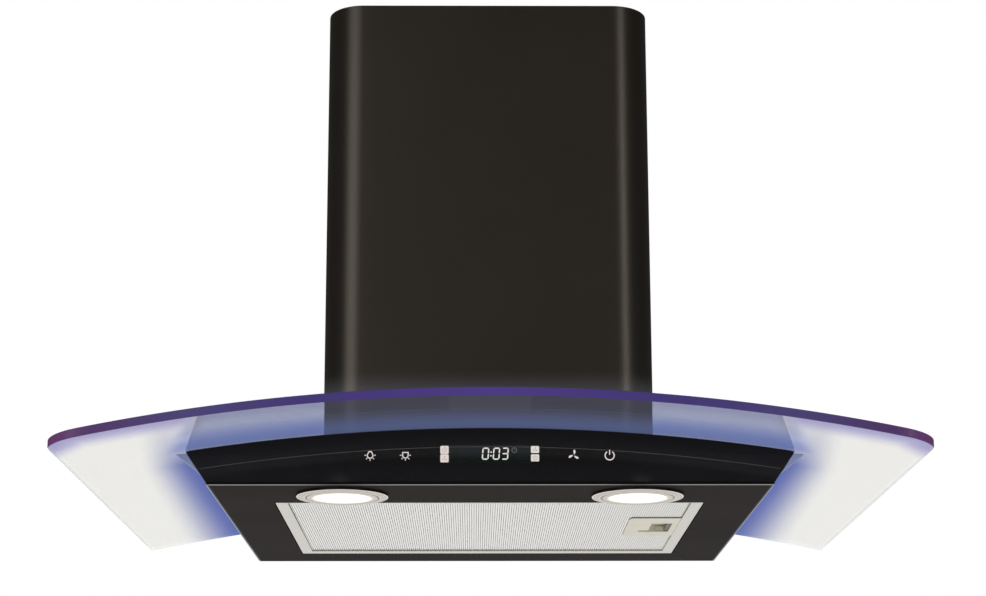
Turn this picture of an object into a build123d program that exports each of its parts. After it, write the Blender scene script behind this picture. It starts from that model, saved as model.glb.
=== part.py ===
"""Curved glass range hood, 600 mm wide, built as separate pieces.

The origin is the centre of the wall bolt pattern, on the wall plane. +X is the viewer's right,
+Y points into the wall and +Z is up. Inside this script a place is written as (x, depth, height):
the depth in front of the wall and the height above the hood's flat underside, in millimetres.
"""
from build123d import *
import math
import os

os.makedirs("parts", exist_ok=True)

# ---- Fits ----
SEAT = 0.05  # between pieces that are fixed to each other
RUN = 0.04  # radial clearance of a turning fit
FREE = 0.3  # between pieces that move past each other
SHEET = 1.2  # steel sheet of the body, the underside and the blower box
LIP = 1.5  # how far a cutting solid runs past the face that it opens

# ---- Wall bolts and hanging plate ----
BOLT_SPACING_X = 120.0
BOLT_SPACING_Z = 252.0
BOLT_HOLE_R = 4.25
BOLT_LOW = 24.0  # lower pair above the underside
PLATE_T = 3.0
PLATE_MARGIN = 14.0  # bolt centre to the plate's end
PLATE_SIDE_MARGIN = 20.0  # bolt centre to the plate's side
RIVET_R = 2.4
RIVET_HEAD_R = 4.0
RIVET_HEAD_T = 1.2

# ---- Grease filter ----
FILTER_W = 321.5
FILTER_D = 265.0
FILTER_T = 9.0
FILTER_REAR = 48.5  # wall to the filter's rear edge
FILTER_GAP = 1.0  # around the filter in its opening
RAIL_SIDE = 9.0
RAIL_FRONT = 4.0
RAIL_REAR = 20.0
GROOVE = 3.0  # how far the meshes reach into the rails
RAIL_SKIN = 1.0  # rail metal under and over the meshes
MESH_T = 0.8
SLOT_W = 3.0  # coarse slots that stand for the mesh openings
SLOT_L = 14.0
SLOT_PITCH_X = 13.0
SLOT_PITCH_Y = 19.0
HINGE_INSET = 3.0  # hinge axis from the filter's left edge and lower face
HINGE_PIN_R = 1.5
HINGE_PIN_DEPTH = 6.0
FLANGE_H = 12.0  # upturned edge round the filter opening

# ---- Filter latch ----
LATCH_W = 40.5
LATCH_D = 88.5
LATCH_FRONT = 242.0  # wall to the latch plate's front edge
LATCH_PLATE_T = 1.0
LATCH_WALL = 1.2
LATCH_H = 7.4  # top of the latch housing above the underside
LATCH_BORDER = 9.0  # plate past the housing, front and rear
LATCH_INSET = 5.0  # plate past the housing, on its left
RECESS_W = 16.0
RECESS_D = 42.0
RECESS_RIGHT = 3.7  # recess to the plate's right edge
RECESS_CENTRE = 192.0  # wall to the recess's centre
LATCH_TRAVEL = 6.0
SLIDE_T = 3.4
SLIDE_LOW = 1.6  # slide above the underside
TAB_T = 4.0
TONGUE_W = 15.0
TONGUE_REACH = 5.45  # tongue past the filter's right edge
SPRING_R = 1.7
SPRING_BORE_R = 1.1
SPRING_L = 17.0
SPRING_OFFSET = 29.0  # each spring from the recess's centre
SPRING_POST_T = 1.2
KEEPER_GAP = 1.5  # tongue to the notch's ends
KEEPER_REACH = 6.3  # notch into the underside panel
KEEPER_FOOT = 5.0
KEEPER_T = 1.2

# ---- Lamps ----
LAMP_X = 108.4
LAMP_R = 34.3
LAMP_EDGE = 1.4  # bezel's outer edge below the underside
LAMP_DROP = 3.0  # bezel's inner lip below the underside
LAMP_LIP_W = 2.0  # flat lip round the lens
LENS_SUNK = 0.4  # lens above the bezel's lip
LAMP_WEB = 2.2  # filter to the bezel's rear edge
LAMP_HOLE_R = 30.0
LAMP_NECK_R = 29.5
LAMP_BORE_R = 24.0
LAMP_RIM_R = 20.8  # edge of the visible lens
LENS_T = 1.6
LENS_UP = 0.9
LAMP_NECK_H = 8.0
LAMP_CAN_H = 21.0
LAMP_CAN_WALL = 1.5
LAMP_BOARD_T = 1.2
LAMP_CHIP = 4.0
LAMP_RING = 13.0  # light-emitting chips from the lamp's centre
LAMP_CHIPS = 6

# ---- Body ----
FRONT_MARGIN = 7.7  # lamp bezel to the fascia's front
SIDE_BAY = 41.75  # filter's edge to the body's lower edge, each side
SIDE_LEAN = 33.8  # side walls, degrees from upright
BACK_SLOT_H = 10.0  # where the hanging plate's slot in the back begins
SEAT_W = 7.0  # rim of the body's top round the air opening

# ---- Fascia and controls ----
FASCIA_T = 3.0
TRIM_H = 2.0
TRIM_PROUD = 0.4
WINDOW_LEFT = -29.7
WINDOW_RIGHT = 29.0
WINDOW_LOW = 15.3
WINDOW_HIGH = 28.9
BOARD_W = 184.0
BOARD_LOW = 10.5
BOARD_HIGH = 32.0
BOARD_T = 1.6
BOARD_MARGIN = 2.0
CHIP_H = 3.5
CHIP_L = 14.0
CONTROL_D = 150.0
CONTROL_FRONT = 300.0
CONTROL_WALL = 1.5
CONTROL_TOP = 22.0
CONTROL_GAP = 1.2  # control box to the keeper's foot
CONTROL_SIDE_GAP = 5.0  # control box to the body's lower edge
STANDOFF_H = 3.0
STANDOFF_R = 2.0
STANDOFF_IN = 12.0  # standoffs from the control box's ends
BOARD_PARTS = ((0.3, 0.2, 11.0), (0.55, 0.12, 8.0), (0.72, 0.1, 3.0))  # start, length, height
BOARD_PART_W = 10.0
TERMINAL_PITCH = 7.0
TERMINAL_D = 22.0
TERMINAL_H = 20.0
TERMINAL_GAP = 12.0
CAPACITOR_R = 14.0
CAPACITOR_L = 50.0
GLAND_R = 9.0
GLAND_BORE_R = 3.6
GLAND_H = 14.0
GLAND_NUT_R = 12.0
GLAND_X = 95.0
GLAND_DEPTH = 25.0
LEAD_R = 1.6
SUPPLY_R = 2.5
LEAD_H = 12.0  # lowest cable holes above the underside
LEAD_SPREAD = 5.0  # between the cable holes of the control box
LEAD_OVER = 16.5  # leads that cross the filter opening's flange
CONNECTOR = 6.0
LEAD_TURN = 0.45  # arc radius as a share of the shorter run beside it

# ---- Glass canopy ----
GLASS_W = 600.0
GLASS_T = 6.0
GLASS_R = 1410.0  # radius of the arched lower face
GLASS_RISE = 41.4  # top of the lower face above the underside
GLASS_OVERHANG = 108.0  # glass in front of the fascia
GLASS_BOW = 3.0  # front edge's bow at its middle
GLASS_CORNER_R = 22.0
GLASS_WALL_GAP = 0.5
GLASS_CUT_GAP = 1.5  # round the blower box
GASKET_T = 1.0
GASKET_W = 9.0
GASKET_INSET = 4.0
GLASS_SCREW_X = 165.0
GLASS_SCREW_DEPTHS = (60.0, 330.0)
GLASS_SCREW_R = 3.0
GLASS_HOLE_R = 5.0
WASHER_R = 9.0
WASHER_T = 1.2
SCREW_HEAD_R = 6.5
SCREW_HEAD_H = 3.5
SCREW_HEAD_ROUND = 2.5
NUT_R = 5.5
NUT_T = 4.5

# ---- Blower ----
IMPELLER_R = 62.0
IMPELLER_HALF = 44.0
IMPELLER_INNER_R = 50.0
DISC_T = 2.0
BLADES = 28
BLADE_T = 1.2
BLADE_LEAN = 25.0
HUB_R = 12.0
HUB_L = 22.0
SHAFT_R = 4.0
SCROLL_GAP = 12.0  # impeller to the casing at the tongue
SCROLL_STEP = 8.0  # growth of the casing's radius each quarter turn
SCROLL_WALL = 2.0
SCROLL_SIDE_GAP = 4.0  # impeller's end to the casing's side wall
INLET_R = 52.0
SCROLL_REAR_GAP = 1.8
SCROLL_FRONT_SPACE = 40.0
INTAKE_SPACE = 65.0  # each side of the scroll in the blower box
AXIS_UP = 132.0
BOX_TOP = 237.0
MOTOR_R = 36.0
MOTOR_START = 8.0
MOTOR_L = 50.0
MOTOR_SHELL = 2.5
MOTOR_END = 5.0
BEARING_R = 8.0
ROTOR_R = 23.0
ROTOR_GAP = 0.5
STATOR_L = 30.0
BRACKET_R = 44.0
BRACKET_T = 2.0
BRACKET_ARM_W = 12.0
BUSH_R = 5.0
BUSH_BORE_R = 2.0
BUSH_H = 4.0
BUSH_RING = 60.0
BRACKET_ARMS = 3

# ---- Outlet collar and flaps ----
COLLAR_R = 75.0
COLLAR_WALL = 2.0
COLLAR_H = 55.0
COLLAR_FLANGE_R = 84.0
COLLAR_FLANGE_T = 2.0
FLAP_UP = 25.0  # flap axis above the blower box
FLAP_T = 1.5
FLAP_GAP = 0.7
FLAP_PIN_R = 1.9
FLAP_BARREL_R = 3.6
FLAP_BARREL_L = 29.0
LEDGE_W = 2.5
LEDGE_T = 2.5

# ---- Chimney ----
CHIMNEY_TOP = 431.0
CHIMNEY_SIDE = 18.0  # blower box to the outer section's face, each side
CHIMNEY_FRONT = 21.0  # blower box to the outer section's face, in front
CHIMNEY_CORNER_R = 30.0
CHIMNEY_T = 1.0
CHIMNEY_GAP = 1.5  # between the two sections
CHIMNEY_FLANGE = 12.0
UPPER_LOW = 100.0
UPPER_DROP = 4.0  # inner section's top below the outer one's
PAD_W = 24.0
PAD_H = 12.0
PAD_DROP = 10.0
TIE_LOW = 60.0
TIE_H = 34.0
TIE_DEPTH = 105.0
TIE_W = 50.0
TIE_T = 1.5
TIE_SCREW_R = 2.0
TIE_HEAD_R = 4.0
TIE_HEAD_H = 2.0

# ---- Worked out from the sizes above ----
UNDER = -(BOLT_LOW + BOLT_SPACING_Z / 2)  # frame height of the underside
FILTER_FRONT = FILTER_REAR + FILTER_D
FILTER_EDGE = FILTER_W / 2
LAMP_DEPTH = FILTER_FRONT + LAMP_WEB + LAMP_R
BODY_D = LAMP_DEPTH + LAMP_R + FRONT_MARGIN
BODY_W = FILTER_W + 2 * SIDE_BAY
SIDE_SLOPE = math.tan(math.radians(SIDE_LEAN))
FRONT_WALL = BODY_D - FASCIA_T - SEAT  # outer face of the body's front wall
GLASS_D = BODY_D + GLASS_OVERHANG
ARCH_UP = GLASS_RISE - GLASS_R  # axis of the arch above the underside
OPENING_EDGE = FILTER_EDGE + FILTER_GAP
KEEPER_EDGE = OPENING_EDGE + KEEPER_REACH
PLATE_HALF = BOLT_SPACING_X / 2 + PLATE_SIDE_MARGIN
PLATE_TOP = BOLT_LOW + BOLT_SPACING_Z + PLATE_MARGIN
SCROLL_R = IMPELLER_R + SCROLL_GAP
SCROLL_HALF = IMPELLER_HALF + SCROLL_SIDE_GAP + SCROLL_WALL
BOX_HALF = SCROLL_HALF + INTAKE_SPACE
BOX_BACK = PLATE_T + SEAT
AXIS_DEPTH = BOX_BACK + SHEET + SCROLL_REAR_GAP + SCROLL_R + SCROLL_STEP / 2
SCROLL_FRONT = AXIS_DEPTH + SCROLL_R + 2.5 * SCROLL_STEP
BOX_FRONT = SCROLL_FRONT + SCROLL_FRONT_SPACE
OUTLET_BACK = AXIS_DEPTH - SCROLL_STEP / 2
COLLAR_DEPTH = (SCROLL_FRONT + OUTLET_BACK) / 2
FLAP_AXIS = BOX_TOP + FLAP_UP
FLAP_R = COLLAR_R - COLLAR_WALL - FLAP_GAP
CHIMNEY_HALF = BOX_HALF + CHIMNEY_SIDE
CHIMNEY_D = BOX_FRONT + CHIMNEY_FRONT
CHIMNEY_STEP = CHIMNEY_T + CHIMNEY_GAP
LATCH_RIGHT = FILTER_EDGE - RAIL_SIDE - SEAT
LATCH_LEFT = LATCH_RIGHT - LATCH_W
LATCH_REAR = LATCH_FRONT - LATCH_D
RECESS_EDGE = LATCH_RIGHT - RECESS_RIGHT
SLIDE_HIGH = SLIDE_LOW + SLIDE_T
CONTROL_LEFT = KEEPER_EDGE + KEEPER_FOOT + CONTROL_GAP
CONTROL_RIGHT = BODY_W / 2 - CONTROL_SIDE_GAP
CONTROL_X = (CONTROL_LEFT + CONTROL_RIGHT) / 2
TERMINAL_FRONT = CONTROL_FRONT - CONTROL_D - TERMINAL_GAP
TERMINAL_DEPTH = TERMINAL_FRONT - TERMINAL_D / 2
MOTOR_HOLE = TERMINAL_FRONT + TERMINAL_GAP + TERMINAL_D
CONNECTOR_X = LAMP_X - LAMP_NECK_R - 2 * CONNECTOR
BOARD_BACK = FRONT_WALL - BOARD_T

CONTROL_FLOOR = SHEET + SEAT + CONTROL_WALL

SIDES = (("left", -1), ("right", 1))

# Drawing planes: each is seen with the depth or height growing as the piece's own coordinates do.
FRONT_VIEW = Plane(origin=(0, 0, UNDER), x_dir=(1, 0, 0), z_dir=(0, -1, 0))  # x, height
PLAN_VIEW = Plane(origin=(0, 0, UNDER), x_dir=(1, 0, 0), z_dir=(0, 0, -1))  # x, depth
SIDE_VIEW = Plane(origin=(0, 0, UNDER), x_dir=(0, -1, 0), z_dir=(-1, 0, 0))  # depth, height


# ---- Building blocks ----
def place(x, depth, height):
    """Point of the frame at a place given by x, depth and height."""
    return Vector(x, -depth, UNDER + height)


def block(x, depth, height):
    """Box that fills three (low, high) spans."""
    spans = (x, (-depth[1], -depth[0]), (UNDER + height[0], UNDER + height[1]))
    centre = [(low + high) / 2 for low, high in spans]
    return Pos(*centre) * Box(*[high - low for low, high in spans])


def rod(radius, start, end):
    """Cylinder from one place to another."""
    line = place(*end) - place(*start)
    plane = Plane(origin=place(*start), z_dir=line)
    return extrude(plane * Circle(radius), amount=line.length)


def tube(radius, bore, start, end):
    """Rod with a bore all the way through."""
    return rod(radius, start, end) - rod(bore, start, end)


def forward(face, near, far):
    """Extrude a front-view face between two depths."""
    return extrude(FRONT_VIEW.offset(near) * face, amount=far - near)


def upward(face, low, high):
    """Extrude a plan-view face between two heights."""
    return extrude(PLAN_VIEW.offset(-high) * face, amount=high - low)


def across(face, left, right):
    """Extrude a side-view face between two values of x."""
    return extrude(SIDE_VIEW.offset(-right) * face, amount=right - left)


def mirrored(side, near, far):
    """Span of x on one side of the hood, between two distances from its middle."""
    return sorted((side * near, side * far))


def save(name, *pieces):
    """Write one node; pieces that don't touch stay separate solids in it."""
    solids = [solid for piece in pieces for solid in piece.solids()]
    shape = solids[0] if len(solids) == 1 else Compound(solids)
    export_step(shape, f"parts/{name}.step")


def lead(points, radius=LEAD_R):
    """Cable through places, with an arc as large as its two runs allow at each turn."""
    route = [place(*point) for point in points]
    runs = [end - start for start, end in zip(route, route[1:])]
    radii = []
    for before, after in zip(runs, runs[1:]):
        half_turn = math.radians(before.get_angle(after) / 2)
        radii.append(LEAD_TURN * min(before.length, after.length) / math.tan(half_turn))
    path = FilletPolyline(*route, radius=radii)
    section = Plane(origin=route[0], z_dir=runs[0]) * Circle(radius)
    return sweep(section, path=path)


# ---- The arch that the glass, the gasket and the body's top share ----
def arch_height(x, lift=0.0):
    """Height at x of the surface that lies lift above the glass's lower face."""
    return ARCH_UP + math.sqrt((GLASS_R + lift) ** 2 - x**2)


def arch_line(half, lift):
    """Arc of the arch across the front view, between -half and half."""
    end = arch_height(half, lift)
    return ThreePointArc((-half, end), (0, GLASS_RISE + lift), (half, end))


def arch_slab(low, high, half, near, far):
    """Slab between two lifts of the arch."""
    bottom = arch_line(half, low)
    top = arch_line(half, high)
    face = make_face([bottom, top, Line(bottom @ 0, top @ 0), Line(bottom @ 1, top @ 1)])
    return forward(face, near, far)


def under_arch(lift, half, near, far):
    """Everything under a lift of the arch, down past the underside."""
    top = arch_line(half, lift)
    base = Polyline(top @ 0, (-half, -LIP), (half, -LIP), top @ 1)
    return forward(make_face([top, base]), near, far)


def on_arch(x, depth):
    """Place on the glass's lower face, its axis square to the glass."""
    tilt = math.degrees(math.asin(x / GLASS_R))
    return Pos(*place(x, depth, arch_height(x))) * Rot(0, tilt, 0)


def half_width(height, wall=0.0):
    """Half the body's width at a height, inside a side wall of that thickness."""
    return BODY_W / 2 + SIDE_SLOPE * height - wall * math.hypot(1, SIDE_SLOPE)


def body_face(wall, gap, floor):
    """Front view of the body: sides inset by wall, top gap under the glass, flat bottom at floor."""
    start = half_width(0, wall)
    radius = GLASS_R - gap
    slope = 1 + SIDE_SLOPE**2
    middle = SIDE_SLOPE * start - ARCH_UP
    rest = start**2 + ARCH_UP**2 - radius**2
    corner = (math.sqrt(middle**2 - slope * rest) - middle) / slope
    top = arch_line(half_width(corner, wall), -gap)
    foot = half_width(floor, wall)
    return make_face([top, Polyline(top @ 0, (-foot, floor), (foot, floor), top @ 1)])


# ---- Body ----
def make_body_shell():
    """Sloping sides, back, front and arched top; open below, and open to the blower above."""
    top_gap = GASKET_T + SHEET
    shell = forward(body_face(0, GASKET_T, 0), 0, FRONT_WALL)
    shell -= forward(body_face(SHEET, top_gap, -LIP), SHEET, FRONT_WALL - SHEET)
    air = (-BOX_HALF + SEAT_W, BOX_HALF - SEAT_W)
    shell -= block(air, (BOX_BACK + SEAT_W, BOX_FRONT - SEAT_W), (0, GLASS_RISE))
    slot = PLATE_HALF + SEAT
    shell -= block((-slot, slot), (-LIP, BOX_BACK), (BACK_SLOT_H, GLASS_RISE))
    half = BOARD_W / 2 + SEAT
    shell -= block((-half, half), (FRONT_WALL - LIP, BODY_D), (BOARD_LOW - SEAT, BOARD_HIGH + SEAT))
    for x, depth in glass_screw_places():
        shell -= on_arch(x, depth) * Cylinder(GLASS_SCREW_R + SEAT, 2 * (top_gap + LIP))
    save("body_shell", shell)


def make_underside_panel():
    """Flat sheet with the flanged filter opening, two lamp holes and upturned side edges."""
    half = half_width(0, SHEET) - SEAT
    back = SHEET + SEAT
    front = FRONT_WALL - SHEET - SEAT
    panel = block((-half, half), (back, front), (0, SHEET))
    for _, side in SIDES:
        panel += block(mirrored(side, half - SHEET, half), (back, front), (0, BOARD_LOW - SHEET))
    rim = SHEET + FILTER_GAP
    panel += block(
        (-FILTER_EDGE - rim, FILTER_EDGE + rim), (FILTER_REAR - rim, FILTER_FRONT + rim), (0, FLANGE_H)
    )
    panel -= block(
        (-OPENING_EDGE, OPENING_EDGE),
        (FILTER_REAR - FILTER_GAP, FILTER_FRONT + FILTER_GAP),
        (-LIP, FLANGE_H + LIP),
    )
    panel -= block(
        (OPENING_EDGE - LIP, KEEPER_EDGE), tongue_span(KEEPER_GAP), (-LIP, FLANGE_H + LIP)
    )
    for _, side in SIDES:
        panel -= rod(LAMP_HOLE_R, (side * LAMP_X, LAMP_DEPTH, -LIP), (side * LAMP_X, LAMP_DEPTH, FLANGE_H))
    for depth in (FILTER_REAR, FILTER_FRONT):
        panel -= hinge_rod(HINGE_PIN_R + SEAT, depth - rim - LIP, depth + rim + LIP)
    save("underside_panel", panel)


def make_wall_plate():
    """Hanging plate with the four wall bolt holes, and the rivets that hold the blower box to it."""
    plate = block((-PLATE_HALF, PLATE_HALF), (0, PLATE_T), (BACK_SLOT_H + SEAT, PLATE_TOP))
    for x in (-BOLT_SPACING_X / 2, BOLT_SPACING_X / 2):
        for height in (BOLT_LOW, BOLT_LOW + BOLT_SPACING_Z):
            plate -= rod(BOLT_HOLE_R, (x, -LIP, height), (x, PLATE_T + LIP, height))
    rivets = []
    for x, height in rivet_places():
        plate -= rod(RIVET_R + SEAT, (x, -LIP, height), (x, PLATE_T + LIP, height))
        inside = BOX_BACK + SHEET + SEAT
        rivet = rod(RIVET_R, (x, SEAT, height), (x, inside + RIVET_HEAD_T, height))
        rivets.append(rivet + rod(RIVET_HEAD_R, (x, inside, height), (x, inside + RIVET_HEAD_T, height)))
    save("wall_plate", plate)
    save("plate_rivets", *rivets)


def rivet_places():
    """Rivets near the plate's sides, between the body's top and the blower box's top."""
    x = PLATE_HALF - PLATE_MARGIN / 2
    low = GLASS_RISE + 2 * PLATE_MARGIN
    high = BOX_TOP - PLATE_MARGIN
    return [(side * x, height) for _, side in SIDES for height in (low, (low + high) / 2, high)]


# ---- Glass ----
def glass_screw_places():
    """The four screws that hold the glass on the body."""
    return [(side * GLASS_SCREW_X, depth) for _, side in SIDES for depth in GLASS_SCREW_DEPTHS]


def glass_plan():
    """Plan of the glass: square back, rounded front corners and a gently bowed front edge."""
    half = GLASS_W / 2
    inner = half - GLASS_CORNER_R
    side_end = GLASS_D - GLASS_BOW
    diagonal = GLASS_CORNER_R * math.sqrt(0.5)
    straight = side_end - GLASS_CORNER_R
    edges = [
        Line((-half, GLASS_WALL_GAP), (half, GLASS_WALL_GAP)),
        ThreePointArc((-inner, side_end), (0, GLASS_D), (inner, side_end)),
    ]
    for _, side in SIDES:
        edges.append(Line((side * half, GLASS_WALL_GAP), (side * half, straight)))
        middle = (side * (inner + diagonal), straight + diagonal)
        edges.append(ThreePointArc((side * half, straight), middle, (side * inner, side_end)))
    return make_face(edges)


def make_glass():
    """Arched canopy, notched at the back for the blower box, with its gasket and screws."""
    glass = arch_slab(0, GLASS_T, GLASS_W / 2 + LIP, GLASS_WALL_GAP, GLASS_D + LIP)
    glass &= upward(glass_plan(), 0, GLASS_RISE + GLASS_T + LIP)
    notch = BOX_HALF + GLASS_CUT_GAP
    tall = (0, GLASS_RISE + GLASS_T + LIP)
    cut = block((-notch, notch), (-LIP, BOX_FRONT + GLASS_CUT_GAP), tall)
    outer = body_inset(GASKET_INSET)
    inner = body_inset(GASKET_INSET + GASKET_W)
    seal = arch_slab(SEAT - GASKET_T, -SEAT, outer, GASKET_INSET, FRONT_WALL - GASKET_INSET)
    hollow = GASKET_INSET + GASKET_W
    seal -= block((-inner, inner), (hollow, FRONT_WALL - hollow), tall)
    seal -= cut
    glass -= cut
    screws = []
    washers = []
    nuts = []
    for x, depth in glass_screw_places():
        local = on_arch(x, depth)
        glass -= local * Cylinder(GLASS_HOLE_R, 2 * (GLASS_T + LIP))
        seat = GLASS_T + SEAT
        ring = Cylinder(WASHER_R, WASHER_T) - Cylinder(GLASS_SCREW_R + SEAT, WASHER_T)
        washers.append(local * Pos(0, 0, seat + WASHER_T / 2) * ring)
        head_low = seat + WASHER_T + SEAT
        end = -(GASKET_T + SHEET + NUT_T + LIP)
        shank = Pos(0, 0, (end + head_low) / 2) * Cylinder(GLASS_SCREW_R, head_low - end)
        dome = Pos(0, 0, head_low + SCREW_HEAD_H / 2) * Cylinder(SCREW_HEAD_R, SCREW_HEAD_H)
        dome = fillet(dome.edges().group_by(Axis.Z)[-1], SCREW_HEAD_ROUND)
        screws.append(local * (shank + dome))
        hexagon = extrude(RegularPolygon(NUT_R, 6) - Circle(GLASS_SCREW_R + SEAT), amount=NUT_T)
        nuts.append(local * Pos(0, 0, -(GASKET_T + SHEET + SEAT + NUT_T)) * hexagon)
    save("glass_canopy", glass)
    save("glass_gasket", seal)
    save("glass_screws", *screws)
    save("glass_washers", *washers)
    save("glass_nuts", *nuts)


def body_inset(inset):
    """Half width of the body's top, in from its edge."""
    return body_face(0, GASKET_T, 0).bounding_box().max.X - inset


# ---- Fascia and controls ----
def make_fascia():
    """Gloss control fascia with the window's opening, and the bright trim under it."""
    fascia = forward(body_face(0, FREE, TRIM_H + SEAT), BODY_D - FASCIA_T, BODY_D)
    window = ((WINDOW_LEFT, WINDOW_RIGHT), (WINDOW_LOW, WINDOW_HIGH))
    fascia -= block(window[0], (BODY_D - FASCIA_T - LIP, BODY_D + LIP), window[1])
    save("control_fascia", fascia)
    bar = forward(body_face(0, FREE, 0), BODY_D - FASCIA_T, BODY_D + TRIM_PROUD)
    bar &= block((-GLASS_W, GLASS_W), (0, GLASS_D), (0, TRIM_H))
    save("fascia_trim", bar)


def make_controls():
    """Display module in the window, and the touch board behind the fascia."""
    lens = block(
        (WINDOW_LEFT + SEAT, WINDOW_RIGHT - SEAT),
        (FRONT_WALL + SEAT, BODY_D),
        (WINDOW_LOW + SEAT, WINDOW_HIGH - SEAT),
    )
    save("display_module", lens)
    half = BOARD_W / 2
    board = block((-half, half), (BOARD_BACK, FRONT_WALL), (BOARD_LOW, BOARD_HIGH))
    chip = (BOARD_LOW + 3 * BOARD_MARGIN, BOARD_HIGH - 3 * BOARD_MARGIN)
    for x in (-half / 2, 0):
        board += block((x - CHIP_L / 2, x + CHIP_L / 2), (BOARD_BACK - CHIP_H, BOARD_BACK), chip)
    x = (CONNECTOR_X - CONNECTOR, CONNECTOR_X + CONNECTOR)
    board += block(x, (BOARD_BACK - CONNECTOR, BOARD_BACK), (BOARD_HIGH - 2 * CONNECTOR, BOARD_HIGH))
    save("touch_board", board)


def make_control_box():
    """Plastic box beside the filter, open above, with holes for its leads, and its lid."""
    x = (CONTROL_LEFT, CONTROL_RIGHT)
    depth = (CONTROL_FRONT - CONTROL_D, CONTROL_FRONT)
    wall = CONTROL_WALL
    box = block(x, depth, (SHEET + SEAT, CONTROL_TOP))
    box -= block(*control_inside(0), (CONTROL_FLOOR, CONTROL_TOP + LIP))
    for end in depth:
        near = end + math.copysign(STANDOFF_IN, sum(depth) / 2 - end)
        foot = (CONTROL_X, near, CONTROL_FLOOR)
        box += rod(STANDOFF_R, foot, (CONTROL_X, near, CONTROL_FLOOR + STANDOFF_H))
    hole = LEAD_R + SEAT
    for hole_x, height in control_front_holes():
        box -= rod(hole, (hole_x, depth[1] - 2 * wall, height), (hole_x, depth[1] + wall, height))
    rear = (depth[0] - wall, depth[0] + 2 * wall)
    box -= rod(hole, (CONTROL_X, rear[0], LEAD_H), (CONTROL_X, rear[1], LEAD_H))
    side = (x[0] - wall, x[0] + 2 * wall)
    box -= rod(hole, (side[0], MOTOR_HOLE, LEAD_OVER), (side[1], MOTOR_HOLE, LEAD_OVER))
    save("control_box", box)
    lid = block(x, depth, (CONTROL_TOP + SEAT, CONTROL_TOP + SEAT + wall))
    lid += block(*control_inside(SEAT), (CONTROL_TOP - wall, CONTROL_TOP + SEAT))
    lid -= block(*control_inside(wall), (CONTROL_TOP - wall - LIP, CONTROL_TOP + SEAT))
    save("control_box_lid", lid)


def control_inside(clear):
    """Spans of the control box's inside, in from its walls by clear."""
    edge = CONTROL_WALL + clear
    x = (CONTROL_LEFT + edge, CONTROL_RIGHT - edge)
    return x, (CONTROL_FRONT - CONTROL_D + edge, CONTROL_FRONT - edge)


def control_front_holes():
    """Places, x and height, where the two lamp leads and the panel lead enter the control box."""
    return (
        (CONTROL_X - LEAD_SPREAD, LEAD_H),
        (CONTROL_X, LEAD_H + LEAD_SPREAD),
        (CONTROL_X + LEAD_SPREAD, LEAD_H),
    )


def make_power_board():
    """Power board on the control box's standoffs, with its tall parts, and the terminal block."""
    low = CONTROL_FLOOR + STANDOFF_H + SEAT
    x, depth = control_inside(SEAT)
    board = block(x, depth, (low, low + BOARD_T))
    length = depth[1] - depth[0]
    for start, share, height in BOARD_PARTS:
        near = depth[0] + start * length
        part_x = (CONTROL_X - BOARD_PART_W / 2, CONTROL_X + BOARD_PART_W / 2)
        top = low + BOARD_T
        board += block(part_x, (near, near + share * length), (top, top + height))
    save("power_board", board)
    x = (CONTROL_LEFT, CONTROL_RIGHT)
    terminal = block(x, (TERMINAL_FRONT - TERMINAL_D, TERMINAL_FRONT), (SHEET + SEAT, TERMINAL_H))
    for offset in (-TERMINAL_PITCH, 0, TERMINAL_PITCH):
        screw = (CONTROL_X + offset, TERMINAL_DEPTH)
        bottom = TERMINAL_H - 2 * STANDOFF_R
        terminal -= rod(STANDOFF_R, (*screw, bottom), (*screw, TERMINAL_H + LIP))
    save("terminal_block", terminal)


# ---- Lamps ----
def make_lamp(name, x):
    """One lamp: bezel with its neck through the underside, lens, light-emitting board and can."""

    def disc(radius, low, high):
        return rod(radius, (x, LAMP_DEPTH, low), (x, LAMP_DEPTH, high))

    section = Polyline(
        (LAMP_RIM_R, LENS_UP - SEAT),
        (LAMP_RIM_R, -LAMP_DROP),
        (LAMP_RIM_R + LAMP_LIP_W, -LAMP_DROP),
        (LAMP_R, -LAMP_EDGE),
        (LAMP_R, -SEAT),
        (LAMP_NECK_R, -SEAT),
        (LAMP_NECK_R, LAMP_NECK_H),
        (LAMP_BORE_R, LAMP_NECK_H),
        (LAMP_BORE_R, LENS_UP - SEAT),
        close=True,
    )
    centre = place(x, LAMP_DEPTH, 0)
    upright = Plane(origin=centre, x_dir=(1, 0, 0), z_dir=(0, -1, 0))
    bezel = revolve(upright * make_face(section), axis=Axis(centre, (0, 0, 1)))
    save(f"lamp_bezel_{name}", bezel)
    lens = disc(LAMP_BORE_R - SEAT, LENS_UP, LENS_UP + LENS_T)
    lens += disc(LAMP_RIM_R - SEAT, LENS_SUNK - LAMP_DROP, LENS_UP)
    save(f"lamp_lens_{name}", lens)
    board_low = LAMP_NECK_H + SEAT
    board = disc(LAMP_NECK_R - LAMP_CAN_WALL - SEAT, board_low, board_low + LAMP_BOARD_T)
    for index in range(LAMP_CHIPS):
        turn = 2 * math.pi * index / LAMP_CHIPS
        centre = (x + LAMP_RING * math.cos(turn), LAMP_DEPTH + LAMP_RING * math.sin(turn))
        spans = [(value - LAMP_CHIP / 2, value + LAMP_CHIP / 2) for value in centre]
        board += block(*spans, (board_low - LAMP_BOARD_T, board_low))
    save(f"lamp_board_{name}", board)
    can = disc(LAMP_NECK_R, board_low, LAMP_CAN_H)
    can -= disc(LAMP_NECK_R - LAMP_CAN_WALL, board_low - LIP, LAMP_CAN_H - LAMP_CAN_WALL)
    save(f"lamp_housing_{name}", can)


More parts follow.
